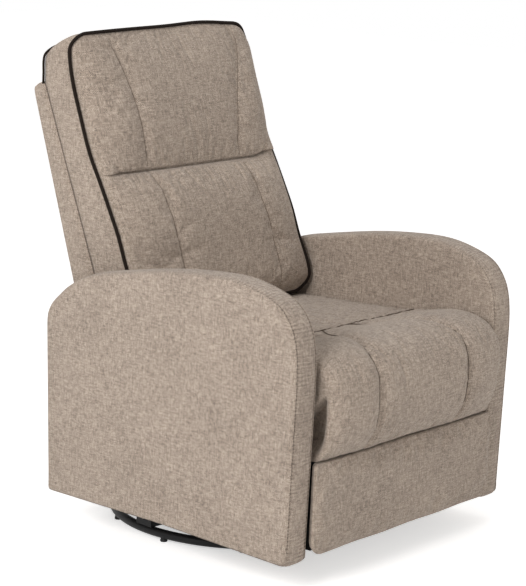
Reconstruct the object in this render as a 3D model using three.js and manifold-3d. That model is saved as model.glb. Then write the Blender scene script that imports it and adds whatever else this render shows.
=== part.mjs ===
// A swivel glider recliner, in millimetres: X is across, the chair faces -Y and Z is up from the floor.
// Y is first counted from the front of the arms, and the finished chair is centred at the end.
import * as THREE from "three";
import { mergeVertices } from "three/addons/utils/BufferGeometryUtils.js";
import Module from "manifold-3d";

const wasm = await Module();
wasm.setup();

// Clearances
const touchGap = 0.3; // between faces that touch
const pinPlay = 0.4; // round a pin in its hole
const layerGap = 0.5; // between links that pass each other
const overrun = 5; // how far a cut runs past a face

// Arms
const chairWidth = 724;
const armThickness = 67.6;
const armOuter = chairWidth / 2;
const armInner = armOuter - armThickness;
const armFront = -12;
const armLength = 668;
const armBottom = 70;
const armHeight = 530;
const armEdgeRound = 3;
const bandThickness = 10;
const armCover = 14;
const armRail = 55; // width of the rails of the wooden frame
const armRearRail = 77;
const armFrontWindowShare = 0.72; // window height as a share of the arm's height
const armRearWindowShare = 0.62;
// The rim from the front foot over the top to the rear foot, as shares of length and height
const armFootShares = [[0.012, 0], [0, 0.638]];
const armTopShares = [
  [0.0015, 0.738], [0.012, 0.825], [0.036, 0.889], [0.079, 0.942], [0.16, 0.979], [0.253, 0.998],
  [0.362, 0.994], [0.512, 0.974], [0.707, 0.93], [0.825, 0.896], [0.904, 0.845], [0.945, 0.802],
  [0.978, 0.762], [0.997, 0.719], [1, 0.672],
];
const armHeelShares = [[0.979, 0]];

// Ring base and swivel
const swivelY = 410;
const baseTurn = THREE.MathUtils.degToRad(-5);
const ringRadius = 286;
const ringTube = 19;
const ringGlideHeight = 6;
const ringGlideRadius = 11;
const ringGlideTopShare = 0.8; // its top radius as a share of the foot's
const ringGlides = 10;
const crossWidth = 45;
const crossDepth = 20;
const crossSheet = 3;
const crossHole = 20;
const swivelPlate = 3.5;
const lowerPlateSide = 150;
const upperPlateSide = 190;
const plateCorner = 18;
const raceInner = 44;
const raceOuter = 64;
const raceHeight = 8;
const raceGroove = 2;
const kingpinRadius = 8;
const kingpinHead = 16;
const kingpinHeadHeight = 6;
const kingpinNut = 14;
const kingpinNutHeight = 5;

// Glider: the carriage hangs on four links from two shafts of the turning frame
const glidePivotSpacing = 260;
const glideUpperZ = 235;
const glideLinkLength = 130;
const glideEye = 13;
const glideWaist = 8;
const glideSheet = 4;
const glideSideGap = 122.4; // between the arm and the turning frame, for the links and rails
const glideFrameHalf = armInner - glideSideGap;
const glideFrameSheet = 4;
const glideFrameSill = 32;
const glideFootHalf = 72; // half length of the sill along Y
const glideLinkOffset = 7; // from the turning frame to the link
const shaftRadius = 6;
const collarRadius = 10;
const collarWidth = 3;
const strapWidth = 42;
const strapThickness = 5;
const strapSpacing = 100;

// Carriage: the frame that carries the arms and hangs the seat
const carriageSheet = 3;
const carriageRailOffset = 5; // from the glide link to the rail
const carriageRailBottom = 82;
const carriageRailHeight = 48;
const frontRailY = 170;
const railThickness = 20;
const frontRailBottom = 75;
const frontRailHeight = 60;
const apronY = 596;
const apronHeight = 205;
const hangerSill = 30;
const hangerFoot = 22;

// Seat swing links
const swingFrontY = 200;
const swingSpacing = 210;
const swingUpperZ = 328;
const swingLength = 90;
const swingSheet = 3;
const swingEye = 14;
const swingLinkEye = 12.5;
const swingPin = 5;
const swingLayer = 0.8;

// Seat frame and springs
const seatFrameSideGap = 39.4; // between the arm and the frame, for the links
const seatFrameHalf = armInner - seatFrameSideGap;
const seatBoard = 20;
const seatFrameFront = 40;
const seatFrameRear = 485;
const seatFrameBottom = 262;
const seatFrameTop = 345;
const seatPivotDrop = 18;
const rearRailHeight = 55;
const springWire = 3.5;
const springSwing = 20;
const springWaves = 9;
const springSteps = 40;
const springRows = 4;
const springEdge = 11;
const springPitch = (2 * (seatFrameHalf - seatBoard - springEdge)) / springRows;

// Seat cushion
const seatRear = 506;
const seatSideGap = 4.4;
const seatHalf = armInner - seatSideGap;
const seatFrontInset = 6;
const seatFrontHalf = seatHalf - seatFrontInset;
const seatTopZ = 436; // the top at the side edges, by the crease
const seatRollFront = -34;
const seatRollBottom = 259;
const seatCrown = 22;
const seatCreaseY = 188;
const seatCreaseDepth = 10;
const seatTaper = 60; // over which the width changes at the crease
const seatUnderInset = 5;
const seatSeamX = 150;
const seamDepth = 5;
const seamHalfWidth = 9;
// Side view from the rear edge over the roll to its foot: shares of the depth and of the roll's height
const seatSideShares = [
  [1, 0.937], [0.766, 0.968], [0.531, 1], [0.411, 1.032], [0.237, 1.126], [0.133, 1.126], [0.047, 1.032],
  [0.009, 0.88], [0, 0.68], [0, 0.45], [0.016, 0.18], [0.042, 0.012], [0.1, 0],
];
// Shares of the way along that side view
const seatCreaseShare = 0.427;
const seatRollFullShare = 0.8; // where the roll reaches its full crown
const seatUnderTurnShare = 0.66; // where the underside turns down behind the roll
const seatRollFadeShares = [0.84, 0.97]; // where the roll's fullness ends
const seatRowShares = [
  0, 0.03, 0.08, 0.16, 0.25, 0.33, 0.38, 0.41, seatCreaseShare, 0.445, 0.48, 0.53, 0.59, seatUnderTurnShare,
  0.7, 0.75, 0.8, 0.85, 0.9, 0.94, 0.97, 1,
];
const seatColumnShares = [0.2, 0.38, 0.66, 0.8, 0.9, 0.96, 0.985, 1];

// Footrest: two-stage scissor links, a board and a pad
const scissorY = 75;
const scissorZ = 340;
const scissorLength = 240;
const scissorRest = THREE.MathUtils.degToRad(84);
const scissorOpen = THREE.MathUtils.degToRad(12);
const scissorSheet = 2.5;
const scissorHalfWidth = 9.5;
const scissorPin = 4;
const scissorHead = 6.5;
const scissorHeadHeight = 1;
const seatPlateRoom = 11.9; // between the arm and the plate's inner face, for the scissor
const seatPlateX = armInner - seatPlateRoom;
const seatPlateSheet = 3;
const seatPlateFront = 58;
const seatPlateRear = 142;
const seatPlateBottom = 87;
const seatPlateSpacer = 38;
const padSideGap = 3.4;
const padHalf = armInner - padSideGap;
const padOverhang = 7;
const boardHalf = padHalf - padOverhang;
const boardThickness = 12;
const boardRear = 8;
const boardInset = 6;
const padThickness = 8;
const padBottom = 72;
const padHeight = 183;
const padCrown = 5;
const padEdgeShare = 0.45; // thickness at the rim
const padShares = [0, 0.3, 0.6, 0.82, 0.93, 0.98, 1];
const tabBottom = 112;
const tabHeight = 88;
const tabWidth = 24;
const tabSheet = 2.5;

// Back
const backHingeY = 505;
const backHingeZ = 328;
const backHingeEye = 14;
const ridgeTopY = 755;
const ridgeTopZ = 908;
const ridgeFootY = 527;
const ridgeFootZ = 365;
const shellTopY = 786;
const shellTopZ = 892;
const shellFootY = 611;
const shellFootZ = 345;
const backSideGap = 18.4;
const cushionHalf = armInner - backSideGap;
const shellProud = 3;
const shellHalf = cushionHalf + shellProud;
const shellWall = 6;
const shellRound = 4;
const backFrameHalf = seatFrameHalf + swingLayer - touchGap;
const backRail = 32;
const backWindowShares = [0.14, 0.86]; // of the ridge's length
const webbingThickness = 2;
const webbingWidth = 50;
const webbingRows = 4;
const webbingSink = 4;
const webbingShares = [0.16, 0.84];
const webbingUprightShares = [0.17, 0.83];
const bracketSheet = 3;
const bracketReach = 178;
const bracketFootShare = 0.08;

// Back cushion and piping
const cushionFoot = 438;
const cushionHeight = 574;
const cushionRearDrop = 16; // from the front top edge down to the rear top edge
const cushionFrontY = 476;
const cushionRake = 209;
const cushionCorner = 40;
const cushionArch = 6;
const headBulge = 47;
const lumbarBulge = 48;
const creaseShare = 0.516; // where the crease lies between the foot and the top
const backSeamLow = 148;
const backSeamHigh = 205;
const backColumnShares = [0.18, 0.36, 0.68, 0.82, 0.91, 0.965, 1];
const lowRowShares = [0, 0.02, 0.06, 0.12, 0.2, 0.3, 0.38, 0.44, 0.48, 0.503];
const highRowShares = [0.529, 0.55, 0.59, 0.66, 0.74, 0.82, 0.88];
const cornerRowShares = [0, 0.35, 0.65, 0.85, 0.96, 1]; // of the corner's height
const pipingWire = 7.5;
const pipingGap = 0.6;
const frontPipingShare = 0.04; // where it starts on the cushion's height
const rearPipingShare = 0.84;
const pipingStepShare = 0.03;
const pipingTopShares = [1, 0.66, 0.33, 0];
// Side view of the front edge: share of the height, share of the rake
const frontEdgeShares = [
  [0, 0.06], [0.07, 0], [0.221, 0.18], [0.31, 0.278], [0.391, 0.392], [0.485, 0.531],
  [0.592, 0.694], [0.726, 0.837], [0.847, 0.952], [0.952, 1], [1, 0.957],
];
// Side view of the rear edge above the ridge: shares of the free height and of the boxing depth
const rearEdgeShares = [[0, 0], [0.22, 0], [0.64, 0.02], [0.85, 0.24], [1, 0.56]];

const fabric = (color) => new THREE.MeshStandardMaterial({ color, roughness: 0.95, metalness: 0 });
const metal = (color, roughness) => new THREE.MeshStandardMaterial({ color, roughness, metalness: 0.9 });
const board = (color) => new THREE.MeshStandardMaterial({ color, roughness: 0.8, metalness: 0 });
const fabricLight = 0xb5a58e;
const fabricDark = 0x9d8a72;
const blackSteel = 0x1c1c1e;
const zincSteel = 0xa9acae;
const plywood = 0xc9a671;
const pipingBrown = 0x2c231e;
const webbingTan = 0x8a7657;

const chair = new THREE.Group();

function place(name, geometry, material, group = chair) {
  const mesh = new THREE.Mesh(geometry, material);
  mesh.name = name;
  group.add(mesh);
  return mesh;
}

// Solids: from a geometry to a body that can be cut or joined, and back
function solid(geometry) {
  const bare = geometry.clone();
  bare.deleteAttribute("normal");
  bare.deleteAttribute("uv");
  const merged = mergeVertices(bare);
  const vertProperties = new Float32Array(merged.attributes.position.array);
  const triVerts = new Uint32Array(merged.index.array);
  return new wasm.Manifold(new wasm.Mesh({ numProp: 3, vertProperties, triVerts }));
}

function geometryOf(body) {
  const { vertProperties, triVerts } = body.getMesh();
  const geometry = new THREE.BufferGeometry();
  geometry.setAttribute("position", new THREE.BufferAttribute(new Float32Array(vertProperties), 3));
  geometry.setIndex(new THREE.BufferAttribute(new Uint32Array(triVerts), 1));
  return geometry;
}

function joined(...geometries) {
  return geometryOf(geometries.map(solid).reduce((whole, next) => whole.add(next)));
}

function cut(geometry, ...tools) {
  return geometryOf(tools.map(solid).reduce((whole, tool) => whole.subtract(tool), solid(geometry)));
}

// The same piece for the other side of the chair
function mirrored(geometry) {
  const flipped = geometry.clone().applyMatrix4(new THREE.Matrix4().makeScale(-1, 1, 1));
  const whole = flipped.index ? flipped.toNonIndexed() : flipped;
  const position = whole.attributes.position;
  for (let corner = 0; corner < position.count; corner += 3) {
    const [a, c] = [corner + 1, corner + 2].map((i) => new THREE.Vector3().fromBufferAttribute(position, i));
    position.setXYZ(corner + 1, ...c.toArray());
    position.setXYZ(corner + 2, ...a.toArray());
  }
  return whole;
}

function placePair(name, geometry, material) {
  place(`left_${name}`, geometry, material);
  place(`right_${name}`, mirrored(geometry), material);
}

// Outlines
const shapeOf = (points) => new THREE.Shape(points.map(([a, b]) => new THREE.Vector2(a, b)));

// A round hole whose flats all lie outside its radius
function hole(shape, a, b, radius, sides = 10) {
  const corner = radius / Math.cos(Math.PI / sides);
  const points = Array.from({ length: sides }, (_, i) => {
    const turn = (-2 * Math.PI * i) / sides;
    return new THREE.Vector2(a + corner * Math.cos(turn), b + corner * Math.sin(turn));
  });
  shape.holes.push(new THREE.Path(points));
}

// A bar with round ends between two points
function barShape([ay, az], [by, bz], radius) {
  const turn = Math.atan2(bz - az, by - ay);
  const shape = new THREE.Shape();
  shape.absarc(ay, az, radius, turn + Math.PI / 2, turn + (3 * Math.PI) / 2, false);
  shape.absarc(by, bz, radius, turn - Math.PI / 2, turn + Math.PI / 2, false);
  shape.closePath();
  return shape;
}

function rectangle(a0, a1, b0, b1, corner = 0) {
  if (!corner) return shapeOf([[a0, b0], [a1, b0], [a1, b1], [a0, b1]]);
  const shape = new THREE.Shape();
  shape.absarc(a1 - corner, b0 + corner, corner, -Math.PI / 2, 0, false);
  shape.absarc(a1 - corner, b1 - corner, corner, 0, Math.PI / 2, false);
  shape.absarc(a0 + corner, b1 - corner, corner, Math.PI / 2, Math.PI, false);
  shape.absarc(a0 + corner, b0 + corner, corner, Math.PI, (3 * Math.PI) / 2, false);
  shape.closePath();
  return shape;
}

// An outline in (y, z) pushed along x, with rounded rims where round is given
const sideways = new THREE.Matrix4().makeBasis(
  new THREE.Vector3(0, 1, 0), new THREE.Vector3(0, 0, 1), new THREE.Vector3(1, 0, 0),
);
function acrossX(shape, from, to, round = 0, curveSegments = 4) {
  const geometry = new THREE.ExtrudeGeometry(shape, {
    depth: to - from - 2 * round, curveSegments, bevelEnabled: round > 0,
    bevelThickness: round, bevelSize: round, bevelOffset: -round, bevelSegments: 2,
  });
  return geometry.applyMatrix4(sideways).translate(from + round, 0, 0);
}

// An outline in (x, y) pushed up from one height to another
function upright(shape, from, to, curveSegments = 4) {
  const geometry = new THREE.ExtrudeGeometry(shape, { depth: to - from, bevelEnabled: false, curveSegments });
  return geometry.translate(0, 0, from);
}

function block([x0, x1], [y0, y1], [z0, z1]) {
  const geometry = new THREE.BoxGeometry(x1 - x0, y1 - y0, z1 - z0);
  return geometry.translate((x0 + x1) / 2, (y0 + y1) / 2, (z0 + z1) / 2);
}

function pinX(from, to, [y, z], radius, sides = 10) {
  const geometry = new THREE.CylinderGeometry(radius, radius, to - from, sides);
  return geometry.rotateZ(Math.PI / 2).translate((from + to) / 2, y, z);
}

// A closed skin from two grids of points, joined round their borders
function skin(outer, inner, columns, rows) {
  const points = [];
  for (const sheet of [outer, inner]) {
    for (const v of rows) for (const u of columns) points.push(...sheet(u, v));
  }
  const wide = columns.length;
  const tall = rows.length;
  const at = (sheet, row, column) => sheet * wide * tall + row * wide + column;
  const faces = [];
  const quad = (a, b, c, d) => faces.push(a, b, c, a, c, d);
  for (let row = 0; row < tall - 1; row++) {
    for (let column = 0; column < wide - 1; column++) {
      quad(at(0, row, column), at(0, row, column + 1), at(0, row + 1, column + 1), at(0, row + 1, column));
      quad(at(1, row, column), at(1, row + 1, column), at(1, row + 1, column + 1), at(1, row, column + 1));
    }
  }
  const border = [];
  for (let column = 0; column < wide - 1; column++) border.push([0, column]);
  for (let row = 0; row < tall - 1; row++) border.push([row, wide - 1]);
  for (let column = wide - 1; column > 0; column--) border.push([tall - 1, column]);
  for (let row = tall - 1; row > 0; row--) border.push([row, 0]);
  border.forEach(([row, column], i) => {
    const [nextRow, nextColumn] = border[(i + 1) % border.length];
    quad(at(1, row, column), at(1, nextRow, nextColumn), at(0, nextRow, nextColumn), at(0, row, column));
  });
  const geometry = new THREE.BufferGeometry();
  geometry.setAttribute("position", new THREE.Float32BufferAttribute(points, 3));
  geometry.setIndex(faces);
  return geometry;
}

// Heights of the base, from the floor up
const ringTop = ringGlideHeight + ringTube;
const crossBottom = ringTop + touchGap;
const crossTop = crossBottom + crossDepth;
const lowerPlateBottom = crossTop + touchGap;
const raceBottom = lowerPlateBottom + swivelPlate + touchGap;
const upperPlateBottom = raceBottom + raceHeight + touchGap;
const glideFrameBottom = upperPlateBottom + swivelPlate + touchGap;

function ringBase() {
  const tube = ringTube / 2;
  const middle = ringRadius - tube;
  const height = ringGlideHeight + tube / 2;
  const parts = [new THREE.TorusGeometry(middle, tube, 8, 40).translate(0, 0, ringGlideHeight + tube)];
  for (let i = 0; i < ringGlides; i++) {
    const turn = (2 * Math.PI * (i + 0.5)) / ringGlides;
    const glide = new THREE.CylinderGeometry(ringGlideRadius * ringGlideTopShare, ringGlideRadius, height, 8);
    glide.rotateX(Math.PI / 2).translate(middle * Math.cos(turn), middle * Math.sin(turn), height / 2);
    parts.push(glide);
  }
  return joined(...parts);
}

// A pressed cross of two channels, open underneath
function crossShape(reach, half) {
  return shapeOf([
    [-reach, -half], [-half, -half], [-half, -reach], [half, -reach], [half, -half], [reach, -half],
    [reach, half], [half, half], [half, reach], [-half, reach], [-half, half], [-reach, half],
  ]);
}

function crossBars() {
  const outline = crossShape(ringRadius, crossWidth / 2);
  hole(outline, 0, 0, crossHole, 16);
  const whole = upright(outline, crossBottom, crossTop, 8);
  const within = crossShape(ringRadius - crossSheet, crossWidth / 2 - crossSheet);
  return cut(whole, upright(within, crossBottom - overrun, crossTop - crossSheet));
}

function swivelPlateGeometry(side, bottom) {
  const shape = rectangle(-side / 2, side / 2, -side / 2, side / 2, plateCorner);
  hole(shape, 0, 0, kingpinRadius + pinPlay);
  return upright(shape, bottom, bottom + swivelPlate);
}

function ballRace() {
  const middle = (raceInner + raceOuter) / 2;
  const top = raceBottom + raceHeight;
  const profile = [
    [raceInner, raceBottom], [middle - raceGroove, raceBottom], [middle, raceBottom + raceGroove],
    [middle + raceGroove, raceBottom], [raceOuter, raceBottom], [raceOuter, top], [middle + raceGroove, top],
    [middle, top - raceGroove], [middle - raceGroove, top], [raceInner, top], [raceInner, raceBottom],
  ];
  return new THREE.LatheGeometry(profile.map(([r, z]) => new THREE.Vector2(r, z)), 22).rotateX(Math.PI / 2);
}

function kingpin() {
  const nutTop = lowerPlateBottom - touchGap;
  const headBottom = glideFrameBottom;
  const profile = [
    [0, nutTop - kingpinNutHeight], [kingpinNut, nutTop - kingpinNutHeight], [kingpinNut, nutTop],
    [kingpinRadius, nutTop], [kingpinRadius, headBottom], [kingpinHead, headBottom],
    [kingpinHead, headBottom + kingpinHeadHeight], [0, headBottom + kingpinHeadHeight],
  ];
  return new THREE.LatheGeometry(profile.map(([r, z]) => new THREE.Vector2(r, z)), 16).rotateX(Math.PI / 2);
}

// Glider
const glideFrontY = swivelY - glidePivotSpacing / 2;
const glideRearY = swivelY + glidePivotSpacing / 2;
const glideLowerZ = glideUpperZ - glideLinkLength;
const glideLinkInner = glideFrameHalf + glideLinkOffset;
const glideLinkOuter = glideLinkInner + glideSheet;
const carriageRailInner = glideLinkOuter + carriageRailOffset;
const carriageRailOuter = carriageRailInner + carriageSheet;

function glideFrame() {
  const sill = glideFrameBottom + glideFrameSill;
  const eye = glideEye;
  const side = shapeOf([
    [swivelY - glideFootHalf, glideFrameBottom], [swivelY + glideFootHalf, glideFrameBottom],
    [glideRearY + eye, glideUpperZ - eye / 2], [glideRearY + eye / 2, glideUpperZ + eye],
    [glideRearY - eye / 2, glideUpperZ + eye], [swivelY + glideFootHalf - glideFrameSill, sill],
    [swivelY - glideFootHalf + glideFrameSill, sill], [glideFrontY + eye / 2, glideUpperZ + eye],
    [glideFrontY - eye / 2, glideUpperZ + eye], [glideFrontY - eye, glideUpperZ - eye / 2],
  ]);
  hole(side, glideFrontY, glideUpperZ, shaftRadius + pinPlay);
  hole(side, glideRearY, glideUpperZ, shaftRadius + pinPlay);
  const plate = acrossX(side, glideFrameHalf - glideFrameSheet, glideFrameHalf);
  const straps = [-1, 1].map((end) => {
    const y = swivelY + (end * strapSpacing) / 2;
    return block(
      [-glideFrameHalf + glideFrameSheet / 2, glideFrameHalf - glideFrameSheet / 2],
      [y - strapWidth / 2, y + strapWidth / 2], [glideFrameBottom, glideFrameBottom + strapThickness],
    );
  });
  return joined(plate, mirrored(plate), ...straps);
}

// A full-width shaft with a collar at each end
function shaft(y, z, half) {
  const bar = pinX(-half, half, [y, z], shaftRadius, 12);
  const collar = pinX(half - collarWidth, half, [y, z], collarRadius, 12);
  return joined(bar, collar, collar.clone().translate(collarWidth - 2 * half, 0, 0));
}

// A link with an eye at each end and a narrower waist
function eyeLink(y, top, bottom, eye, waist, bore, from, to) {
  const outline = barShape([y, top], [y, bottom], waist);
  const eyes = [top, bottom].map((z) => pinX(from, to, [y, z], eye, 14));
  const tools = bore ? [top, bottom].map((z) => pinX(from - overrun, to + overrun, [y, z], bore, 12)) : [];
  return cut(joined(acrossX(outline, from, to), ...eyes), ...tools);
}

// Carriage
function carriageFrame() {
  const front = frontRailY + railThickness + touchGap;
  const rear = apronY - touchGap;
  const heights = [carriageRailBottom, carriageRailBottom + carriageRailHeight];
  const outline = rectangle(front, rear, ...heights);
  hole(outline, glideFrontY, glideLowerZ, shaftRadius + pinPlay);
  hole(outline, glideRearY, glideLowerZ, shaftRadius + pinPlay);
  const rail = acrossX(outline, carriageRailInner, carriageRailOuter);
  const reach = armInner - touchGap;
  const ends = [[front, front + carriageSheet], [rear - carriageSheet, rear]].map(
    (span) => block([-reach, reach], span, heights),
  );
  return joined(rail, mirrored(rail), ...ends);
}

const swingLowerZ = swingUpperZ - swingLength;
const swingRearY = swingFrontY + swingSpacing;
const swingInner = seatFrameHalf + swingLayer;
const swingOuter = swingInner + swingSheet;
const hangerInner = swingOuter + swingLayer;
const hangerOuter = hangerInner + carriageSheet;

// The plate on each side that hangs the seat's swing links
function hangerPlate() {
  const bottom = frontRailBottom + frontRailHeight + touchGap;
  const rear = apronY - touchGap;
  const sill = bottom + hangerSill;
  const top = swingUpperZ + swingEye;
  const half = swingEye;
  const outline = shapeOf([
    [frontRailY, bottom], [rear, bottom], [rear, sill + hangerSill], [rear - hangerSill, sill],
    [swingRearY + 2 * half, sill], [swingRearY + half, swingUpperZ], [swingRearY + half / 2, top],
    [swingRearY - half / 2, top], [swingRearY - half, swingUpperZ], [swingRearY - 2 * half, sill],
    [swingFrontY + 2 * half, sill], [swingFrontY + half, swingUpperZ], [swingFrontY + half / 2, top],
    [swingFrontY - half / 2, top], [swingFrontY - half, swingUpperZ], [frontRailY, sill],
  ]);
  hole(outline, swingFrontY, swingUpperZ, swingPin + pinPlay);
  hole(outline, swingRearY, swingUpperZ, swingPin + pinPlay);
  return joined(
    acrossX(outline, hangerInner, hangerOuter),
    block([hangerInner, hangerOuter + hangerFoot], [frontRailY, frontRailY + railThickness],
      [bottom, bottom + carriageSheet]),
    block([hangerInner, hangerOuter + hangerFoot], [rear - carriageSheet, rear], [bottom, sill + hangerSill]),
  );
}

// Upper pin outwards into the hanger plate, lower pin inwards into the seat frame
function swingLink(y) {
  const link = eyeLink(y, swingUpperZ, swingLowerZ, swingLinkEye, swingEye / 2, 0, swingInner, swingOuter);
  return joined(
    link,
    pinX(swingInner, hangerOuter + carriageSheet, [y, swingUpperZ], swingPin),
    pinX(seatFrameHalf - seatBoard / 2, swingOuter, [y, swingLowerZ], swingPin),
  );
}

// Arms
const armPoint = ([along, up]) => [armFront + along * armLength, armBottom + up * armHeight];

function armRim() {
  const path = new THREE.Path();
  path.moveTo(...armPoint(armFootShares[0]));
  path.lineTo(...armPoint(armFootShares[1]));
  path.splineThru(armTopShares.map((share) => new THREE.Vector2(...armPoint(share))));
  path.lineTo(...armPoint(armHeelShares[0]));
  return path.getPoints(2);
}

// The rim moved inwards, with both feet kept at the arm's bottom
function insetRim(rim, distance) {
  return rim.map((point, i) => {
    const before = rim[Math.max(i - 1, 0)];
    const after = rim[Math.min(i + 1, rim.length - 1)];
    const along = after.clone().sub(before).normalize();
    const moved = point.clone().add(new THREE.Vector2(along.y, -along.x).multiplyScalar(distance));
    if (i === 0 || i === rim.length - 1) moved.y = armBottom;
    return moved;
  });
}

function arms() {
  const rim = armRim();
  const within = insetRim(rim, bandThickness + touchGap);
  const band = new THREE.Shape([...rim, ...insetRim(rim, bandThickness).reverse()]);
  placePair("arm_band", acrossX(band, armInner, armOuter, armEdgeRound), fabric(fabricDark));
  const panel = new THREE.Shape(within);
  placePair("arm_outer_cover", acrossX(panel, armOuter - armCover, armOuter), fabric(fabricLight));
  placePair("arm_inner_cover", acrossX(panel, armInner, armInner + armCover), fabric(fabricLight));
  const middle = armFront + armLength / 2;
  const sill = armBottom + armRail;
  const windows = [
    [armFront + armRail, middle - armRail / 2, armFrontWindowShare],
    [middle + armRail / 2, armFront + armLength - armRearRail, armRearWindowShare],
  ];
  const inner = armInner + armCover + touchGap;
  const outer = armOuter - armCover - touchGap;
  const cuts = windows.map(([from, to, share]) => acrossX(
    rectangle(from, to, sill, armBottom + share * armHeight), inner - overrun, outer + overrun,
  ));
  placePair("arm_frame", cut(acrossX(panel, inner, outer), ...cuts), board(plywood));
}

// Seat
function seatFrame() {
  const low = swingLowerZ - seatPivotDrop;
  const [front, rear] = [swingFrontY, swingRearY];
  const outline = shapeOf([
    [seatFrameFront, seatFrameBottom], [front - 2 * seatBoard, seatFrameBottom],
    [front - seatBoard, low], [rear + seatBoard, low], [rear + 2 * seatBoard, seatFrameBottom],
    [seatFrameRear, seatFrameBottom + seatBoard],
    [backHingeY + seatBoard, backHingeZ - seatBoard / 2], [backHingeY + seatBoard, seatFrameTop],
    [seatFrameFront, seatFrameTop],
  ]);
  hole(outline, front, swingLowerZ, swingPin + pinPlay);
  hole(outline, rear, swingLowerZ, swingPin + pinPlay);
  hole(outline, backHingeY, backHingeZ, swingPin + pinPlay);
  const side = acrossX(outline, seatFrameHalf - seatBoard, seatFrameHalf);
  const span = [-seatFrameHalf + seatBoard / 2, seatFrameHalf - seatBoard / 2];
  return joined(
    side, mirrored(side),
    block(span, [seatFrameFront, seatFrameFront + seatBoard], [seatFrameBottom, seatFrameTop]),
    block(span, [seatFrameRear - seatBoard, seatFrameRear], [seatFrameTop - rearRailHeight, seatFrameTop]),
  );
}

function sinuousSpring(x) {
  const from = seatFrameFront + seatBoard / 2;
  const to = seatFrameRear - seatBoard / 2;
  const height = seatFrameTop + touchGap + springWire / 2;
  const points = Array.from({ length: springSteps + 1 }, (_, i) => {
    const share = i / springSteps;
    const swing = springSwing * Math.sin(2 * Math.PI * springWaves * share / 2);
    return new THREE.Vector3(x + swing, from + share * (to - from), height);
  });
  const wire = new THREE.Shape().absarc(0, 0, springWire / 2, 0, 2 * Math.PI, false);
  return new THREE.ExtrudeGeometry(wire, {
    steps: springSteps, curveSegments: 2.5, extrudePath: new THREE.CatmullRomCurve3(points),
  });
}

// The side view of the seat's top, as (y, z)
const deckZ = seatFrameTop + springWire + 2 * touchGap;
function seatProfile() {
  return new THREE.SplineCurve(seatSideShares.map(([deep, high]) => new THREE.Vector2(
    THREE.MathUtils.lerp(seatRollFront, seatRear, deep), THREE.MathUtils.lerp(seatRollBottom, seatTopZ, high),
  )));
}

// Shares of the half width where the grid has its columns, with the seam between the two close ones
function seamColumns(seam, flank, others) {
  const right = [...others, seam - flank, seam, seam + flank].sort((a, b) => a - b);
  return [...right.map((share) => -share).reverse(), 0, ...right];
}

const fade = (share, power) => Math.sqrt(Math.max(0, 1 - Math.abs(share) ** power));

function seatCushion() {
  const profile = seatProfile();
  const back = seatFrameFront - touchGap;
  const halfAt = (y) => {
    const blend = THREE.MathUtils.smoothstep(y, seatCreaseY - seatTaper / 2, seatCreaseY + seatTaper / 2);
    return seatFrontHalf + blend * (seatHalf - seatFrontHalf);
  };
  const seam = seatSeamX / seatHalf;
  const flank = seamHalfWidth / seatHalf;
  const crease = seatCreaseShare;
  const top = (u, v) => {
    const { x: y, y: z } = profile.getPointAt(v);
    const tangent = profile.getTangentAt(v);
    const half = halfAt(y);
    const lobe = v < crease ? 2 * (v / crease) - 1 : 2 * ((v - crease) / (1 - crease)) - 1;
    const roll = v < crease ? 0 : fade(lobe, 2);
    const rise = THREE.MathUtils.smoothstep(v, crease, seatRollFullShare);
    const front = rise * (1 - THREE.MathUtils.smoothstep(v, ...seatRollFadeShares));
    let lift = seatCrown * fade(u, 3) * (v < crease ? fade(lobe, 2) / 2 : front);
    if (Math.abs(Math.abs(u) - seam) < flank / 2 && v > crease) lift -= seamDepth * roll;
    if (v === crease) lift -= seatCreaseDepth * fade(u, 6);
    return [u * half, y + tangent.y * lift, z - tangent.x * lift];
  };
  const under = (u, v) => {
    const { x: y } = profile.getPointAt(v);
    const half = halfAt(y) - seatUnderInset;
    const turn = seatUnderTurnShare;
    if (v <= turn) return [u * half, THREE.MathUtils.lerp(seatRear, back, v / turn), deckZ];
    return [u * half, back, THREE.MathUtils.lerp(deckZ, seatRollBottom + touchGap, (v - turn) / (1 - turn))];
  };
  const columns = seamColumns(seam, flank, seatColumnShares);
  return skin((u, v) => top(-u, v), (u, v) => under(-u, v), columns, seatRowShares);
}

// Footrest scissor, at rest: descending links start high at the rear, ascending links start low
const sweep = [scissorLength * Math.cos(scissorRest), scissorLength * Math.sin(scissorRest)];
const highRear = [scissorY, scissorZ];
const lowRear = [scissorY, scissorZ - sweep[1]];
const highFront = [scissorY - sweep[0], scissorZ];
const lowFront = [scissorY - sweep[0], scissorZ - sweep[1]];
const lowEnd = [scissorY - 2 * sweep[0], scissorZ - sweep[1]];
const middleOf = ([ay, az], [by, bz]) => [(ay + by) / 2, (az + bz) / 2];
const firstCross = middleOf(highRear, lowFront);
const secondCross = middleOf(highFront, lowEnd);
const seatPlateOuter = seatPlateX + seatPlateSheet;
const descInner = seatPlateOuter + layerGap;
const descOuter = descInner + scissorSheet;
const ascInner = descOuter + layerGap;
const ascOuter = ascInner + scissorSheet;
const headInner = ascOuter + layerGap / 2;

// A rivet from the descending link out through the ascending link
function rivet(point) {
  return joined(
    pinX(descInner, headInner + scissorHeadHeight, point, scissorPin),
    pinX(headInner, headInner + scissorHeadHeight, point, scissorHead),
  );
}

function scissorLink(from, to, inner, outer, holes = []) {
  const outline = barShape(from, to, scissorHalfWidth);
  for (const [y, z] of holes) hole(outline, y, z, scissorPin + pinPlay);
  return acrossX(outline, inner, outer);
}

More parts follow.
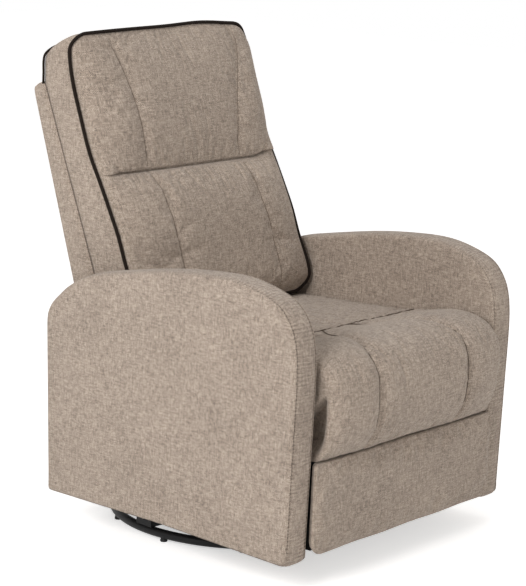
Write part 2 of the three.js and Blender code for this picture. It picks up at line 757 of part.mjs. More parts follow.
function seatSidePlate() {
  const top = scissorZ + scissorHalfWidth;
  const outline = rectangle(seatPlateFront, seatPlateRear, seatPlateBottom, top, seatBoard / 2);
  hole(outline, ...highRear, scissorPin + pinPlay);
  const slotTop = [scissorY, scissorZ - scissorLength * Math.sin(scissorOpen) + pinPlay];
  const slotBottom = [scissorY, lowRear[1] - pinPlay];
  outline.holes.push(barShape(slotBottom, slotTop, scissorPin + pinPlay));
  const spacer = block(
    [seatFrameHalf + touchGap, seatPlateX + seatPlateSheet / 2],
    [seatPlateRear - seatPlateSpacer, seatPlateRear], [seatFrameBottom, seatFrameTop],
  );
  return joined(acrossX(outline, seatPlateX, seatPlateOuter), spacer);
}

function driveLink() {
  return joined(
    scissorLink(highRear, lowFront, descInner, descOuter),
    pinX(seatPlateX - scissorHeadHeight, descOuter, highRear, scissorPin),
    rivet(firstCross), rivet(lowFront),
  );
}

function crossLink() {
  return joined(
    scissorLink(lowRear, highFront, ascInner, ascOuter, [firstCross, highFront]),
    pinX(seatPlateX - scissorHeadHeight, ascOuter, lowRear, scissorPin),
  );
}

function footrestLink() {
  const tab = [tabBottom, tabBottom + tabHeight];
  const rear = highFront[0] - sweep[0] / 2;
  const face = boardRear + touchGap;
  return joined(
    scissorLink(highFront, lowEnd, descInner, descOuter),
    acrossX(rectangle(face, rear, ...tab), descInner, descOuter),
    block([descOuter - tabWidth, descOuter], [face, face + tabSheet], tab),
    rivet(highFront), rivet(secondCross),
  );
}

function guideLink() {
  return scissorLink(lowFront, secondCross, ascInner, ascOuter, [lowFront, secondCross]);
}

function footrestBoard() {
  const front = boardRear - boardThickness;
  return block([-boardHalf, boardHalf], [front, boardRear],
    [padBottom + boardInset, padBottom + padHeight - boardInset]);
}

function footrestPad() {
  const rear = boardRear - boardThickness - touchGap;
  const half = padHeight / 2;
  const middle = padBottom + half;
  const wide = [...padShares.slice(1).map((share) => -share).reverse(), ...padShares];
  const edge = padThickness * padEdgeShare;
  const front = (u, v) => {
    const proud = edge + (padThickness - edge) * fade(u, 24) * fade(v, 8);
    return [u * padHalf, rear - proud - padCrown * fade(u, 2) * fade(v, 2), middle + v * half];
  };
  return skin(front, (u, v) => [u * padHalf, rear, middle + v * half], wide, wide);
}

// Back
const onRidge = (share) => [
  THREE.MathUtils.lerp(ridgeFootY, ridgeTopY, share), THREE.MathUtils.lerp(ridgeFootZ, ridgeTopZ, share),
];
const onShell = (share) => [
  THREE.MathUtils.lerp(shellFootY, shellTopY, share), THREE.MathUtils.lerp(shellFootZ, shellTopZ, share),
];
const shifted = ([y, z], dy, dz) => [y + dy, z + dz];

function backShell() {
  const outline = shapeOf([onRidge(0), onShell(0), onShell(1), onRidge(1)]);
  const rearTop = shifted(onShell(1), -shellWall, -shellWall);
  const frontTop = shifted(onRidge(1), 0, -shellWall);
  const slope = (frontTop[1] - rearTop[1]) / (frontTop[0] - rearTop[0]);
  const hollow = shapeOf([
    shifted(onRidge(0), -2 * overrun, -2 * overrun), shifted(onShell(0), -shellWall, -2 * overrun),
    rearTop, shifted(frontTop, -2 * overrun, -2 * overrun * slope),
  ]);
  const inner = shellHalf - shellWall;
  return cut(acrossX(outline, -shellHalf, shellHalf, shellRound), acrossX(hollow, -inner, inner));
}

function backFrame() {
  const wall = shellWall + touchGap;
  const outline = shapeOf([
    shifted(onRidge(0), touchGap, touchGap), shifted(onShell(0), -wall, touchGap),
    shifted(onShell(1), -wall, -wall), shifted(onRidge(1), -touchGap, -wall),
  ]);
  const [low, high] = backWindowShares;
  const window = shapeOf([
    shifted(onRidge(low), -4 * overrun, 0), shifted(onShell(low), 4 * overrun, 0),
    shifted(onShell(high), 4 * overrun, 0), shifted(onRidge(high), -4 * overrun, 0),
  ]);
  const inner = backFrameHalf - backRail;
  return cut(acrossX(outline, -backFrameHalf, backFrameHalf), acrossX(window, -inner, inner));
}

// Elastic bands across the frame, crossed by two upright ones
function backWebbing() {
  const half = backFrameHalf - backRail - touchGap;
  const band = (from, to, x0, x1, sink) => {
    const [start, end] = [onRidge(from), onRidge(to)];
    return acrossX(shapeOf([
      shifted(start, sink, 0), shifted(start, sink + webbingThickness, 0),
      shifted(end, sink + webbingThickness, 0), shifted(end, sink, 0),
    ]), x0, x1);
  };
  const length = Math.hypot(ridgeTopY - ridgeFootY, ridgeTopZ - ridgeFootZ);
  const wide = webbingWidth / length;
  const [low, high] = webbingShares;
  const rows = Array.from({ length: webbingRows }, (_, i) => {
    const start = low + ((high - low - wide) * i) / (webbingRows - 1);
    return band(start, start + wide, -half, half, webbingSink);
  });
  const uprights = [-1, 1].map((side) => {
    const x = (side * half) / 2;
    const sink = webbingSink + webbingThickness / 2;
    return band(...webbingUprightShares, x - webbingWidth / 2, x + webbingWidth / 2, sink);
  });
  return joined(...rows, ...uprights);
}

// The bracket on each side that carries the back on the seat's hinge
function backBracket() {
  const inner = seatFrameHalf + swingLayer;
  const outer = inner + bracketSheet;
  const hinge = [backHingeY, backHingeZ];
  const foot = middleOf(onRidge(bracketFootShare), onShell(bracketFootShare));
  const share = bracketReach / Math.hypot(ridgeTopY - ridgeFootY, ridgeTopZ - ridgeFootZ);
  const top = middleOf(onRidge(share), onShell(share));
  return joined(
    acrossX(barShape(hinge, foot, backHingeEye), inner, outer),
    acrossX(barShape(foot, top, backHingeEye), inner, outer),
    pinX(seatFrameHalf - seatBoard / 2, outer, hinge, swingPin),
  );
}

// The cushion's side view: its front edge, and its rear edge along the ridge and free above it.
// Both give y for a share of the height, smoothly through the points of a table.
function along(table, share) {
  const last = table.length - 1;
  const row = Math.max(0, Math.min(last - 1, table.findIndex(([at], i) => i > 0 && share <= at) - 1));
  const [[from, low], [to, high]] = [table[row], table[row + 1]];
  const slope = (i) => {
    const [a, b] = [table[Math.max(i - 1, 0)], table[Math.min(i + 1, last)]];
    return ((b[1] - a[1]) / (b[0] - a[0])) * (to - from);
  };
  const t = (share - from) / (to - from);
  const [t2, t3] = [t * t, t * t * t];
  return low * (2 * t3 - 3 * t2 + 1) + high * (3 * t2 - 2 * t3)
    + slope(row) * (t3 - 2 * t2 + t) + slope(row + 1) * (t3 - t2);
}

function frontEdge(share) {
  return [cushionFrontY + cushionRake * along(frontEdgeShares, share), cushionFoot + share * cushionHeight];
}

function rearEdge(share) {
  const rise = cushionHeight - cushionRearDrop;
  const z = cushionFoot + share * rise;
  if (z <= ridgeTopZ) {
    const [y] = onRidge((z - ridgeFootZ) / (ridgeTopZ - ridgeFootZ));
    return [y - touchGap, z];
  }
  const free = (z - ridgeTopZ) / (cushionFoot + rise - ridgeTopZ);
  const depth = ridgeTopY - (cushionFrontY + cushionRake);
  return [ridgeTopY - touchGap - depth * along(rearEdgeShares, free), z];
}

// How far a share of the height lies into the round top corners, and the half width there
const intoCorner = (share) => Math.min(1, Math.max(0, 1 - ((1 - share) * cushionHeight) / cushionCorner));
const cushionHalfAt = (share) => cushionHalf - cushionCorner * (1 - fade(intoCorner(share), 2));

// The cushion rises a little towards the middle of its top
const archAt = (x, share) => cushionArch * (1 - (x / cushionHalf) ** 2) * share ** 6;

function cushionRows() {
  const corner = cushionCorner / cushionHeight;
  const round = cornerRowShares.map((turn) => 1 - corner + corner * turn);
  return [...lowRowShares, creaseShare, ...highRowShares, ...round];
}

function backCushion() {
  const seamRest = backSeamLow / cushionHalf;
  const flank = seamHalfWidth / cushionHalf;
  // Columns bend outwards towards the top with the seam
  const bend = (u, share) => {
    const into = Math.max(0, (share - creaseShare) / (1 - creaseShare));
    const seamNow = seamRest + ((backSeamHigh - backSeamLow) / cushionHalf) * into ** 3;
    const side = Math.abs(u);
    const moved = side < seamRest
      ? (side / seamRest) * seamNow
      : seamNow + ((side - seamRest) / (1 - seamRest)) * (1 - seamNow);
    return Math.sign(u) * moved;
  };
  const front = (u, share) => {
    const [y, z] = frontEdge(share);
    const x = bend(u, share) * cushionHalfAt(share);
    const inHead = share > creaseShare;
    const lobe = inHead
      ? 2 * ((share - creaseShare) / (1 - creaseShare)) - 1
      : 2 * (share / creaseShare) - 1;
    let lift = (inHead ? headBulge : lumbarBulge) * fade(u, 3) * fade(lobe, 4);
    if (Math.abs(Math.abs(u) - seamRest) < flank / 2) lift -= Math.min(seamDepth, lift);
    return [x, y - lift, z + archAt(x, share)];
  };
  const behind = (u, share) => {
    const [y, z] = rearEdge(share);
    const x = bend(u, share) * cushionHalfAt(share);
    return [x, y, z + archAt(x, share)];
  };
  return skin(front, behind, seamColumns(seamRest, flank, backColumnShares), cushionRows());
}

// A cord of piping up one side, over the top and down the other
function piping(edge, from) {
  const out = pipingWire / 2 + pipingGap;
  const side = [];
  const rows = [from, ...cushionRows().filter((share) => share > from + pipingStepShare && share < 1)];
  for (const share of rows) {
    const [y, z] = edge(share);
    const turn = Math.asin(intoCorner(share));
    const x = cushionHalfAt(share);
    side.push([x + out * Math.cos(turn), y, z + archAt(x, share) + out * Math.sin(turn)]);
  }
  const [y, z] = edge(1);
  const reach = cushionHalf - cushionCorner;
  const across = pipingTopShares.map((share) => {
    const x = share * reach;
    return [x, y, z + out + archAt(x, 1)];
  });
  const half = [...side, ...across];
  const other = half.slice(0, -1).reverse().map(([x, ...rest]) => [-x, ...rest]);
  const path = new THREE.CatmullRomCurve3([...half, ...other].map((point) => new THREE.Vector3(...point)));
  // Its rings stand at the path's own points, which lie closer together round the corners
  path.getPointAt = (t, target) => path.getPoint(t, target);
  path.getTangentAt = (t, target) => path.getTangent(t, target);
  const wire = new THREE.Shape().absarc(0, 0, pipingWire / 2, 0, 2 * Math.PI, false);
  const steps = path.points.length - 1;
  return new THREE.ExtrudeGeometry(wire, { steps, curveSegments: 3, extrudePath: path });
}

// Assembly
const base = new THREE.Group();
base.position.set(0, swivelY, 0);
base.rotation.z = baseTurn;
chair.add(base);
place("ring_base", ringBase(), metal(blackSteel, 0.45), base);
place("cross_bars", crossBars(), metal(blackSteel, 0.5), base);
const lowerPlate = swivelPlateGeometry(lowerPlateSide, lowerPlateBottom);
place("lower_swivel_plate", lowerPlate, metal(zincSteel, 0.4), base);
place("swivel_ball_race", ballRace(), metal(zincSteel, 0.3), base);

const turntable = new THREE.Group();
turntable.position.set(0, swivelY, 0);
chair.add(turntable);
const upperPlate = swivelPlateGeometry(upperPlateSide, upperPlateBottom);
place("upper_swivel_plate", upperPlate, metal(zincSteel, 0.4), turntable);
place("kingpin", kingpin(), metal(zincSteel, 0.3), turntable);

place("glider_base_frame", glideFrame(), metal(blackSteel, 0.5));
const upperShaftHalf = glideLinkOuter + layerGap + collarWidth;
const lowerShaftHalf = carriageRailOuter + layerGap + collarWidth;
const glideEnds = [["front", glideFrontY], ["rear", glideRearY]];
for (const [end, y] of glideEnds) {
  place(`${end}_upper_glide_shaft`, shaft(y, glideUpperZ, upperShaftHalf), metal(zincSteel, 0.3));
  place(`${end}_lower_glide_shaft`, shaft(y, glideLowerZ, lowerShaftHalf), metal(zincSteel, 0.3));
  const link = eyeLink(y, glideUpperZ, glideLowerZ, glideEye, glideWaist, shaftRadius + 2 * pinPlay,
    glideLinkInner, glideLinkOuter);
  placePair(`${end}_glide_link`, link, metal(blackSteel, 0.4));
}

place("carriage_frame", carriageFrame(), metal(blackSteel, 0.5));
placePair("seat_hanger_plate", hangerPlate(), metal(blackSteel, 0.5));
const railReach = armInner - touchGap;
place("front_rail", block([-railReach, railReach], [frontRailY, frontRailY + railThickness],
  [frontRailBottom, frontRailBottom + frontRailHeight]), board(plywood));
place("rear_apron", block([-railReach, railReach], [apronY, apronY + railThickness],
  [frontRailBottom, frontRailBottom + apronHeight]), fabric(fabricDark));
arms();

placePair("front_swing_link", swingLink(swingFrontY), metal(zincSteel, 0.4));
placePair("rear_swing_link", swingLink(swingRearY), metal(zincSteel, 0.4));

place("seat_frame", seatFrame(), board(plywood));
for (let row = 0; row < springRows; row++) {
  const x = (row - (springRows - 1) / 2) * springPitch;
  place(`seat_spring_${row + 1}`, sinuousSpring(x), metal(zincSteel, 0.4));
}
place("seat_cushion", seatCushion(), fabric(fabricDark));
placePair("seat_side_plate", seatSidePlate(), metal(blackSteel, 0.5));

placePair("footrest_drive_link", driveLink(), metal(blackSteel, 0.4));
placePair("footrest_cross_link", crossLink(), metal(blackSteel, 0.4));
placePair("footrest_panel_link", footrestLink(), metal(blackSteel, 0.4));
placePair("footrest_guide_link", guideLink(), metal(blackSteel, 0.4));
place("footrest_board", footrestBoard(), board(plywood));
place("footrest_pad", footrestPad(), fabric(fabricDark));

place("back_frame", backFrame(), board(plywood));
place("back_webbing", backWebbing(), fabric(webbingTan));
place("outside_back_panel", backShell(), fabric(fabricLight));
place("back_cushion", backCushion(), fabric(fabricDark));
place("front_back_piping", piping(frontEdge, frontPipingShare), fabric(pipingBrown));
place("rear_back_piping", piping(rearEdge, rearPipingShare), fabric(pipingBrown));
placePair("back_bracket", backBracket(), metal(blackSteel, 0.5));

// The finished chair stands on the floor with the middle of its outline over the origin
chair.updateMatrixWorld(true);
const outline = new THREE.Box3().setFromObject(chair, true);
chair.position.y = -(outline.min.y + outline.max.y) / 2;
console.log("centred along Y by", chair.position.y, "size", outline.getSize(new THREE.Vector3()).toArray());

export default chair;
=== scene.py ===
"""A swivel glider recliner in taupe tweed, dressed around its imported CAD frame."""

import math

import bmesh
import bpy
import numpy as np
from mathutils import Matrix, Vector


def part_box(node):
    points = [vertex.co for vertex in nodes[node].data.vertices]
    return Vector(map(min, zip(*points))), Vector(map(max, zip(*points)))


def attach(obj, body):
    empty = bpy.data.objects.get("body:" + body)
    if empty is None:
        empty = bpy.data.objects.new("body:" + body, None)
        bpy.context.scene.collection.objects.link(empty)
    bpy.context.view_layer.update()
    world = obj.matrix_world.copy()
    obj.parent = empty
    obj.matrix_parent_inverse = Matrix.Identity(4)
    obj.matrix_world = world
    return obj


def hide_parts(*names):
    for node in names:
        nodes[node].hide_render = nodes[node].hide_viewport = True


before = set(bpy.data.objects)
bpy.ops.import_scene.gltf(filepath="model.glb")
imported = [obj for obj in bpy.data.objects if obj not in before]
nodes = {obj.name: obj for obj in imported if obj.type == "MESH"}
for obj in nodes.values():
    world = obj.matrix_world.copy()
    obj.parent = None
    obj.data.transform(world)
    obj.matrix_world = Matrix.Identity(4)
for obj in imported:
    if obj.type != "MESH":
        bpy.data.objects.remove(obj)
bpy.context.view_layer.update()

# Shapes are written in millimetres with Y counted from the arms' front, as in the CAD
FRONT_RAIL_Y = 170
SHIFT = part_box("front_rail")[0].y - FRONT_RAIL_Y / 1000
ARM_OUTER, ARM_INNER = 362, 294.4  # the arms' faces, from the chair's middle
SIDES = {"left": 1, "right": -1}


def to_frame(points):
    moved = np.asarray(points, float) * 0.001
    moved[..., 1] += SHIFT
    return moved


def added(name, data):
    """A new object in the scene."""
    obj = bpy.data.objects.new(name, data)
    bpy.context.scene.collection.objects.link(obj)
    return obj


# Camera
CAMERA_TURNS = (-50.44, 12.08, 2.34)  # round the chair, up and sideways, in degrees
CAMERA_PLACE = (-3521.2, -2533.5, 1464.9)


def make_camera():
    azimuth, elevation, roll = (math.radians(turn) for turn in CAMERA_TURNS)
    level = math.cos(elevation)
    back = Vector((math.sin(azimuth) * level, -math.cos(azimuth) * level, math.sin(elevation)))
    right = Vector((math.cos(azimuth), math.sin(azimuth), 0))
    up = back.cross(right)
    across = right * math.cos(roll) + up * math.sin(roll)
    upward = up * math.cos(roll) - right * math.sin(roll)
    data = bpy.data.cameras.new("camera")
    data.lens = 136.2
    data.sensor_width = 36
    data.clip_end = 50
    camera = added("camera", data)
    place = Matrix((across, upward, back)).transposed().to_4x4()
    place.translation = to_frame(CAMERA_PLACE)
    camera.matrix_world = place
    bpy.context.scene.camera = camera


make_camera()


# Materials
class Nodes:
    """Short names for building the node tree of a new material, or of another kind of data block."""

    def __init__(self, name, blocks=bpy.data.materials):
        self.owner = blocks.new(name)
        self.owner.use_nodes = True
        self.tree = self.owner.node_tree
        self.shader = self.tree.nodes.get("Principled BSDF")

    def add(self, kind, *values, **settings):
        """A new node, with its settings and its first inputs."""
        node = self.tree.nodes.new(kind)
        for key, value in settings.items():
            setattr(node, key, value)
        for value, socket in zip(values, node.inputs):
            self.link(value, socket)
        return node

    def link(self, source, target):
        if isinstance(source, bpy.types.NodeSocket):
            self.tree.links.new(source, target)
        else:
            target.default_value = source

    def math(self, operation, *values):
        return self.add("ShaderNodeMath", *values, operation=operation).outputs[0]

    def times(self, a, b):
        return self.math("MULTIPLY", a, b)

    def less(self, a, b):
        return self.math("SUBTRACT", a, b)

    def plus(self, total, *others):
        for other in others:
            total = self.math("ADD", total, other)
        return total

    def mix(self, share, a, b):
        """a where share is 0 and b where it is 1, for numbers."""
        node = self.add("ShaderNodeMix", data_type="FLOAT")
        for index, value in ((0, share), (2, a), (3, b)):
            self.link(value, node.inputs[index])
        return node.outputs[0]

    def tint(self, share, a, b):
        """The same for colors."""
        node = self.add("ShaderNodeMix", data_type="RGBA")
        for index, value in ((0, share), (6, (*a, 1)), (7, (*b, 1))):
            self.link(value, node.inputs[index])
        return node.outputs[2]

    def vector(self, x, y):
        return self.add("ShaderNodeCombineXYZ", x, y).outputs[0]

    def noise(self, vector, scale=1.0, detail=2.0, roughness=0.5):
        node = self.add("ShaderNodeTexNoise", vector)
        for name, value in (("Scale", scale), ("Detail", detail), ("Roughness", roughness)):
            node.inputs[name].default_value = value
        return node.outputs[0]

    def grain(self, u, v, scales, detail=2.0, roughness=0.5):
        """Noise with a scale of its own each way."""
        return self.noise(self.vector(self.times(u, scales[0]), self.times(v, scales[1])), 1.0, detail, roughness)

    def speck(self, x, y):
        """One random number for each pair of whole numbers."""
        return self.add("ShaderNodeTexWhiteNoise", self.vector(x, y), noise_dimensions="2D").outputs["Value"]

    def ramp(self, share, *stops):
        node = self.add("ShaderNodeValToRGB", share)
        elements = node.color_ramp.elements
        while len(elements) < len(stops):
            elements.new(0.5)
        for element, (position, color) in zip(elements, stops):
            element.position = position
            element.color = (*color, 1)
        return node.outputs[0]

    def surface(self, color, roughness, specular=0.5):
        for name, value in (("Base Color", color), ("Roughness", roughness), ("Specular IOR Level", specular)):
            self.link(value, self.shader.inputs[name])

    def bump(self, height, distance, strength=1.0):
        node = self.add("ShaderNodeBump")
        for name, value in (("Strength", strength), ("Distance", distance), ("Height", height)):
            self.link(value, node.inputs[name])
        self.link(node.outputs[0], self.shader.inputs["Normal"])

    def place(self):
        """The point in the object, and the two directions along its cloth there."""
        source = self.add("ShaderNodeTexCoord")
        self.across, y, z = self.add("ShaderNodeSeparateXYZ", source.outputs["Object"]).outputs
        normal = self.add("ShaderNodeSeparateXYZ", source.outputs["Normal"])
        nx, ny, nz = (self.math("ABSOLUTE", n) for n in normal.outputs)
        faces_x = self.math("GREATER_THAN", nx, self.math("MAXIMUM", ny, nz))
        faces_z = self.math("GREATER_THAN", nz, self.math("MAXIMUM", nx, ny))
        return source.outputs["Object"], self.mix(faces_x, self.across, y), self.mix(faces_z, z, y)

    def seen(self):
        """1 where the camera looks, straight or by way of gloss or glass, and 0 for other light."""
        rays = self.add("ShaderNodeLightPath").outputs
        mirrored = self.math("MAXIMUM", rays["Is Glossy Ray"], rays["Is Transmission Ray"])
        return self.math("MAXIMUM", rays["Is Camera Ray"], mirrored)


LIGHT, MIDDLE, DARK = (0.54, 0.45, 0.375), (0.355, 0.287, 0.234), (0.175, 0.138, 0.112)
YARN, RIB, GATHERED = 0.0021, 0.0074, 0.018  # the width of a yarn, of a rib and of the gathers, in metres
SLUBS, STREAKS = 85.0, (270.0, 38.0)  # to the metre
DASH, DASH_STEP = 3.0, 0.37  # in crossings


def tweed(name, edges=()):
    """A basket weave of slubby light and dark yarns. At edges, given as x in metres, it gathers into ribs."""
    n = Nodes(name)
    point, u, v = n.place()
    warp, weft = n.math("DIVIDE", u, YARN), n.math("DIVIDE", v, YARN)
    warp_round, weft_round = (n.math("SINE", n.times(yarn, math.pi)) for yarn in (warp, weft))
    over = n.math("GREATER_THAN", n.times(warp_round, weft_round), 0.0)
    column, row = n.math("FLOOR", warp), n.math("FLOOR", weft)

    def dash_at(along, yarn):
        return n.math("FLOOR", n.plus(n.math("DIVIDE", along, DASH), n.times(yarn, DASH_STEP)))

    # Each yarn has its own shade, and thick and thin places along it
    slub_v, slub_u = n.vector(column, n.times(v, SLUBS)), n.vector(n.times(u, SLUBS), row)
    shade = n.mix(over, *(n.noise(slub, 1.0, 3.0, 0.65) for slub in (slub_v, slub_u)))
    # Short dashes of one light or dark yarn
    dash = n.mix(over, n.speck(column, dash_at(weft, column)), n.speck(dash_at(warp, row), row))
    # Longer streaks and soft clouds, which show from a step away
    streak_v, streak_u = (n.grain(u, v, scales, 2.0, 0.6) for scales in (STREAKS, STREAKS[::-1]))
    cloud = n.noise(point, 9.0, 3.0, 0.55)
    # The gaps between yarns lie in shade, and the crossing yarns are a little lighter
    yarn_round = n.mix(over, n.math("ABSOLUTE", warp_round), n.math("ABSOLUTE", weft_round))
    share = n.times(n.plus(n.times(shade, 0.56), n.times(streak_v, 0.26), n.times(streak_u, 0.24)), 0.9434)
    for value, mean, weight in ((cloud, 0.5, 0.1), (yarn_round, 0.64, 0.1), (dash, 0.5, 0.13), (over, 0.5, 0.05)):
        share = n.plus(share, n.times(n.less(value, mean), weight))
    if edges:
        near = n.math("MINIMUM", *(n.math("ABSOLUTE", n.less(n.math("ABSOLUTE", n.across), x)) for x in edges))
        beside = n.less(1.0, n.math("MINIMUM", 1.0, n.math("DIVIDE", near, GATHERED)))
        patch = n.times(n.less(n.noise(point, 11.0, 1.0), 0.5), 5.0)
        gather = n.math("MINIMUM", 1.0, n.math("MAXIMUM", n.math("MAXIMUM", patch, beside), 0.35))
        wander = n.times(n.noise(point, 20.0), 7.0)
        rib = n.times(n.math("SINE", n.plus(n.times(v, 2 * math.pi / RIB), wander)), gather)
        # The ribs also darken and lighten the colour: painted light and shade on their sides, on top of their bump
        share = n.plus(share, n.times(rib, 0.05))
    n.surface(n.ramp(share, (0.36, DARK), (0.5, MIDDLE), (0.64, LIGHT)), 0.92, 0.25)
    n.shader.inputs["Sheen Weight"].default_value = 0.18
    n.shader.inputs["Sheen Roughness"].default_value = 0.5
    height = n.plus(n.times(yarn_round, 0.6), n.times(share, 1.6))
    if edges:
        height = n.plus(height, n.times(rib, 2.0))
    n.bump(height, 0.0007, 0.8)
    return n.owner


def plain(name, color, roughness, grain, metallic=0.0, specular=0.5):
    """A coated, plated or moulded surface with a fine grain and a little wear in its roughness."""
    n = Nodes(name)
    point = n.place()[0]
    broad = n.noise(point, 14.0, 4.0, 0.6)
    low, high = (tuple(c * share for c in color) for share in (0.88, 1.12))
    n.surface(n.tint(broad, low, high), n.plus(roughness - 0.1, n.times(broad, 0.2)), specular)
    n.shader.inputs["Metallic"].default_value = metallic
    n.bump(n.noise(point, 900.0, 3.0), grain)
    return n.owner


def timber(name):
    """Raw plywood: a long figure with fine pores."""
    n = Nodes(name)
    u, v = n.place()[1:]
    figure = n.grain(u, v, (9.0, 130.0), 4.0, 0.6)
    pores = n.grain(u, v, (40.0, 900.0))
    color = n.ramp(n.plus(n.times(figure, 0.8), n.times(pores, 0.2)),
                   (0.35, (0.36, 0.21, 0.10)), (0.5, (0.50, 0.32, 0.17)), (0.65, (0.60, 0.42, 0.25)))
    n.surface(color, 0.72)
    n.bump(figure, 0.0003)
    return n.owner


def banded(name, light, dark, pitch):
    """Cord or elastic: fine ribs along and across."""
    n = Nodes(name)
    u, v = n.place()[1:]
    rib = n.math("SINE", n.times(n.plus(u, v), 2 * math.pi / pitch))
    n.surface(n.tint(n.plus(0.5, n.times(rib, 0.5)), dark, light), 0.9, 0.15)
    n.bump(rib, 0.0002)
    return n.owner


cover = tweed("tweed")
band_cover = tweed("tweed_band", edges=(ARM_OUTER / 1000, ARM_INNER / 1000))
# Dark threads: the arms' topstitches are thread, the lines in the seams' grooves are partly thread and partly
# painted shade, and the lines along the creases are painted shade
soft_thread_and_shade = banded("soft_thread_and_shade", (0.23, 0.18, 0.14), (0.15, 0.118, 0.093), 0.0034)
stitch_and_shade_thread = banded("stitch_and_shade_thread", (0.15, 0.115, 0.09), (0.10, 0.077, 0.06), 0.0012)
piping_cloth = banded("piping_cloth", (0.022, 0.0135, 0.0095), (0.009, 0.006, 0.0045), 0.0012)
lining = banded("black_lining", (0.012, 0.011, 0.010), (0.006, 0.006, 0.006), 0.0016)
webbing_cloth = banded("webbing_cloth", (0.24, 0.17, 0.10), (0.12, 0.085, 0.05), 0.004)
black = plain("black_powder_coat", (0.006, 0.006, 0.0065), 0.5, 0.00006, specular=0.22)
zinc = plain("zinc_plate", (0.50, 0.51, 0.53), 0.36, 0.00002, metallic=1.0)
plastic = plain("black_plastic", (0.009, 0.009, 0.009), 0.55, 0.00005, specular=0.25)
plywood = timber("plywood")


# Mesh helpers
def unit(vectors):
    return vectors / np.maximum(np.linalg.norm(vectors, axis=-1, keepdims=True), 1e-9)


def mesh_object(name, points, faces, material=None, frame_units=False):
    mesh = bpy.data.meshes.new(name)
    mesh.from_pydata((points if frame_units else to_frame(points)).tolist(), [], faces)
    mesh.validate()
    obj = added(name, mesh)
    if material:
        mesh.materials.append(material)
    return obj


def outward(obj):
    shape = bmesh.new()
    shape.from_mesh(obj.data)
    bmesh.ops.remove_doubles(shape, verts=shape.verts, dist=1e-5)
    bmesh.ops.recalc_face_normals(shape, faces=shape.faces)
    shape.to_mesh(obj.data)
    shape.free()


def smooth(obj, degrees=None):
    obj.data.shade_smooth()
    if degrees:
        obj.data.set_sharp_from_angle(angle=math.radians(degrees))


def solid(name, points, faces, material, degrees=None):
    """A smooth closed mesh, sharp where its faces meet at more than some degrees."""
    obj = mesh_object(name, points, faces, material)
    outward(obj)
    smooth(obj, degrees)
    return obj


def applied(obj):
    """Applies the object's modifiers."""
    bpy.context.view_layer.update()
    done = bpy.data.meshes.new_from_object(obj.evaluated_get(bpy.context.evaluated_depsgraph_get()))
    obj.modifiers.clear()
    obj.data = done


def finer(obj):
    """Adds one subdivision."""
    obj.modifiers.new("finer", "SUBSURF").levels = 1
    applied(obj)


def grid_faces(rows, columns, start=0, flip=False):
    index = start + np.arange(rows * columns).reshape(rows, columns)
    a, b, c, d = index[:-1, :-1], index[:-1, 1:], index[1:, 1:], index[1:, :-1]
    order = (a, d, c, b) if flip else (a, b, c, d)
    return np.stack(order, -1).reshape(-1, 4).tolist()


def ring_faces(rings, count, caps=True):
    """Faces between rings of count points each, closed round, with caps at the ends."""
    faces = []
    for low in range(0, (rings - 1) * count, count):
        high = low + count
        faces += [(low + i, low + (i + 1) % count, high + (i + 1) % count, high + i) for i in range(count)]
    if caps:
        faces += [list(range(count)), [(rings - 1) * count + i for i in range(count)]]
    return faces


def skin(name, outer, inner, sides, bulge):
    """A closed piece from an outer and an inner grid, with a boxing of some strips between their borders.

    bulge says how far the boxing stands out, from its outer border and a share of its depth."""
    rows, columns, _ = outer.shape
    size = rows * columns
    index = np.arange(size).reshape(rows, columns)
    border = np.concatenate([index[0], index[1:, -1], index[-1, -2::-1], index[-2:0:-1, 0]])
    points = [outer.reshape(-1, 3), inner.reshape(-1, 3)]
    first, last = points[0][border], points[1][border]
    away = first - points[0].mean(0)
    away[:, 1] = 0
    away = unit(away)
    rings = [border]
    for share in np.arange(1, sides) / sides:
        points.append(lerp(first, last, share) + away * np.reshape(bulge(first, share), (-1, 1)))
        rings.append(2 * size + (len(rings) - 1) * len(border) + np.arange(len(border)))
    rings.append(border + size)
    faces = grid_faces(rows, columns) + grid_faces(rows, columns, size, True)
    for low, high in zip(rings, rings[1:]):
        faces += np.stack([low, np.roll(low, -1), np.roll(high, -1), high], 1).tolist()
    return solid(name, np.concatenate(points), faces, cover)


def circle(radius, count, z):
    turn = np.linspace(0, 2 * np.pi, count, endpoint=False)
    return np.column_stack([radius * np.cos(turn), radius * np.sin(turn), np.full(count, z)])


def tube(name, path, radius, material, sides, closed=False):
    """A tube along points, in millimetres, with flat ends or closed round."""
    path = np.asarray(path, float)
    tangent = unit(np.roll(path, -1, 0) - np.roll(path, 1, 0) if closed else np.gradient(path, axis=0))
    normal = np.cross(tangent[0], (0.3, 0.5, 0.8))
    rings = []
    for point, t in zip(path, tangent):
        normal = unit(normal - t * (normal @ t))
        rings.append(point + circle(radius, sides, 0) @ (normal, np.cross(t, normal), t))
    if closed:
        rings.append(rings[0])
    return solid(name, np.concatenate(rings), ring_faces(len(rings), sides, not closed), material, 60)


def seam_thread_and_shade(name, path, body, radius, material):
    """The dark line of a seam, lying in its groove; its darkness is partly the thread and partly painted shade of
    the groove.
    """
    return dressed(tube(name, path, radius, material, 6), body, "cushion_fabric")


def blurred(grid, cells):
    """A grid of points, smoothed over some cells each way."""
    reach = int(3 * cells)
    kernel = np.exp(-0.5 * (np.arange(-reach, reach + 1) / cells) ** 2)
    kernel /= kernel.sum()
    out = grid
    for axis in (0, 1):
        width = [(reach, reach) if a == axis else (0, 0) for a in range(3)]
        wide = np.pad(out, width, mode="reflect", reflect_type="odd")
        out = sum(k * np.take(wide, range(i, i + grid.shape[axis]), axis=axis) for i, k in enumerate(kernel))
    return out


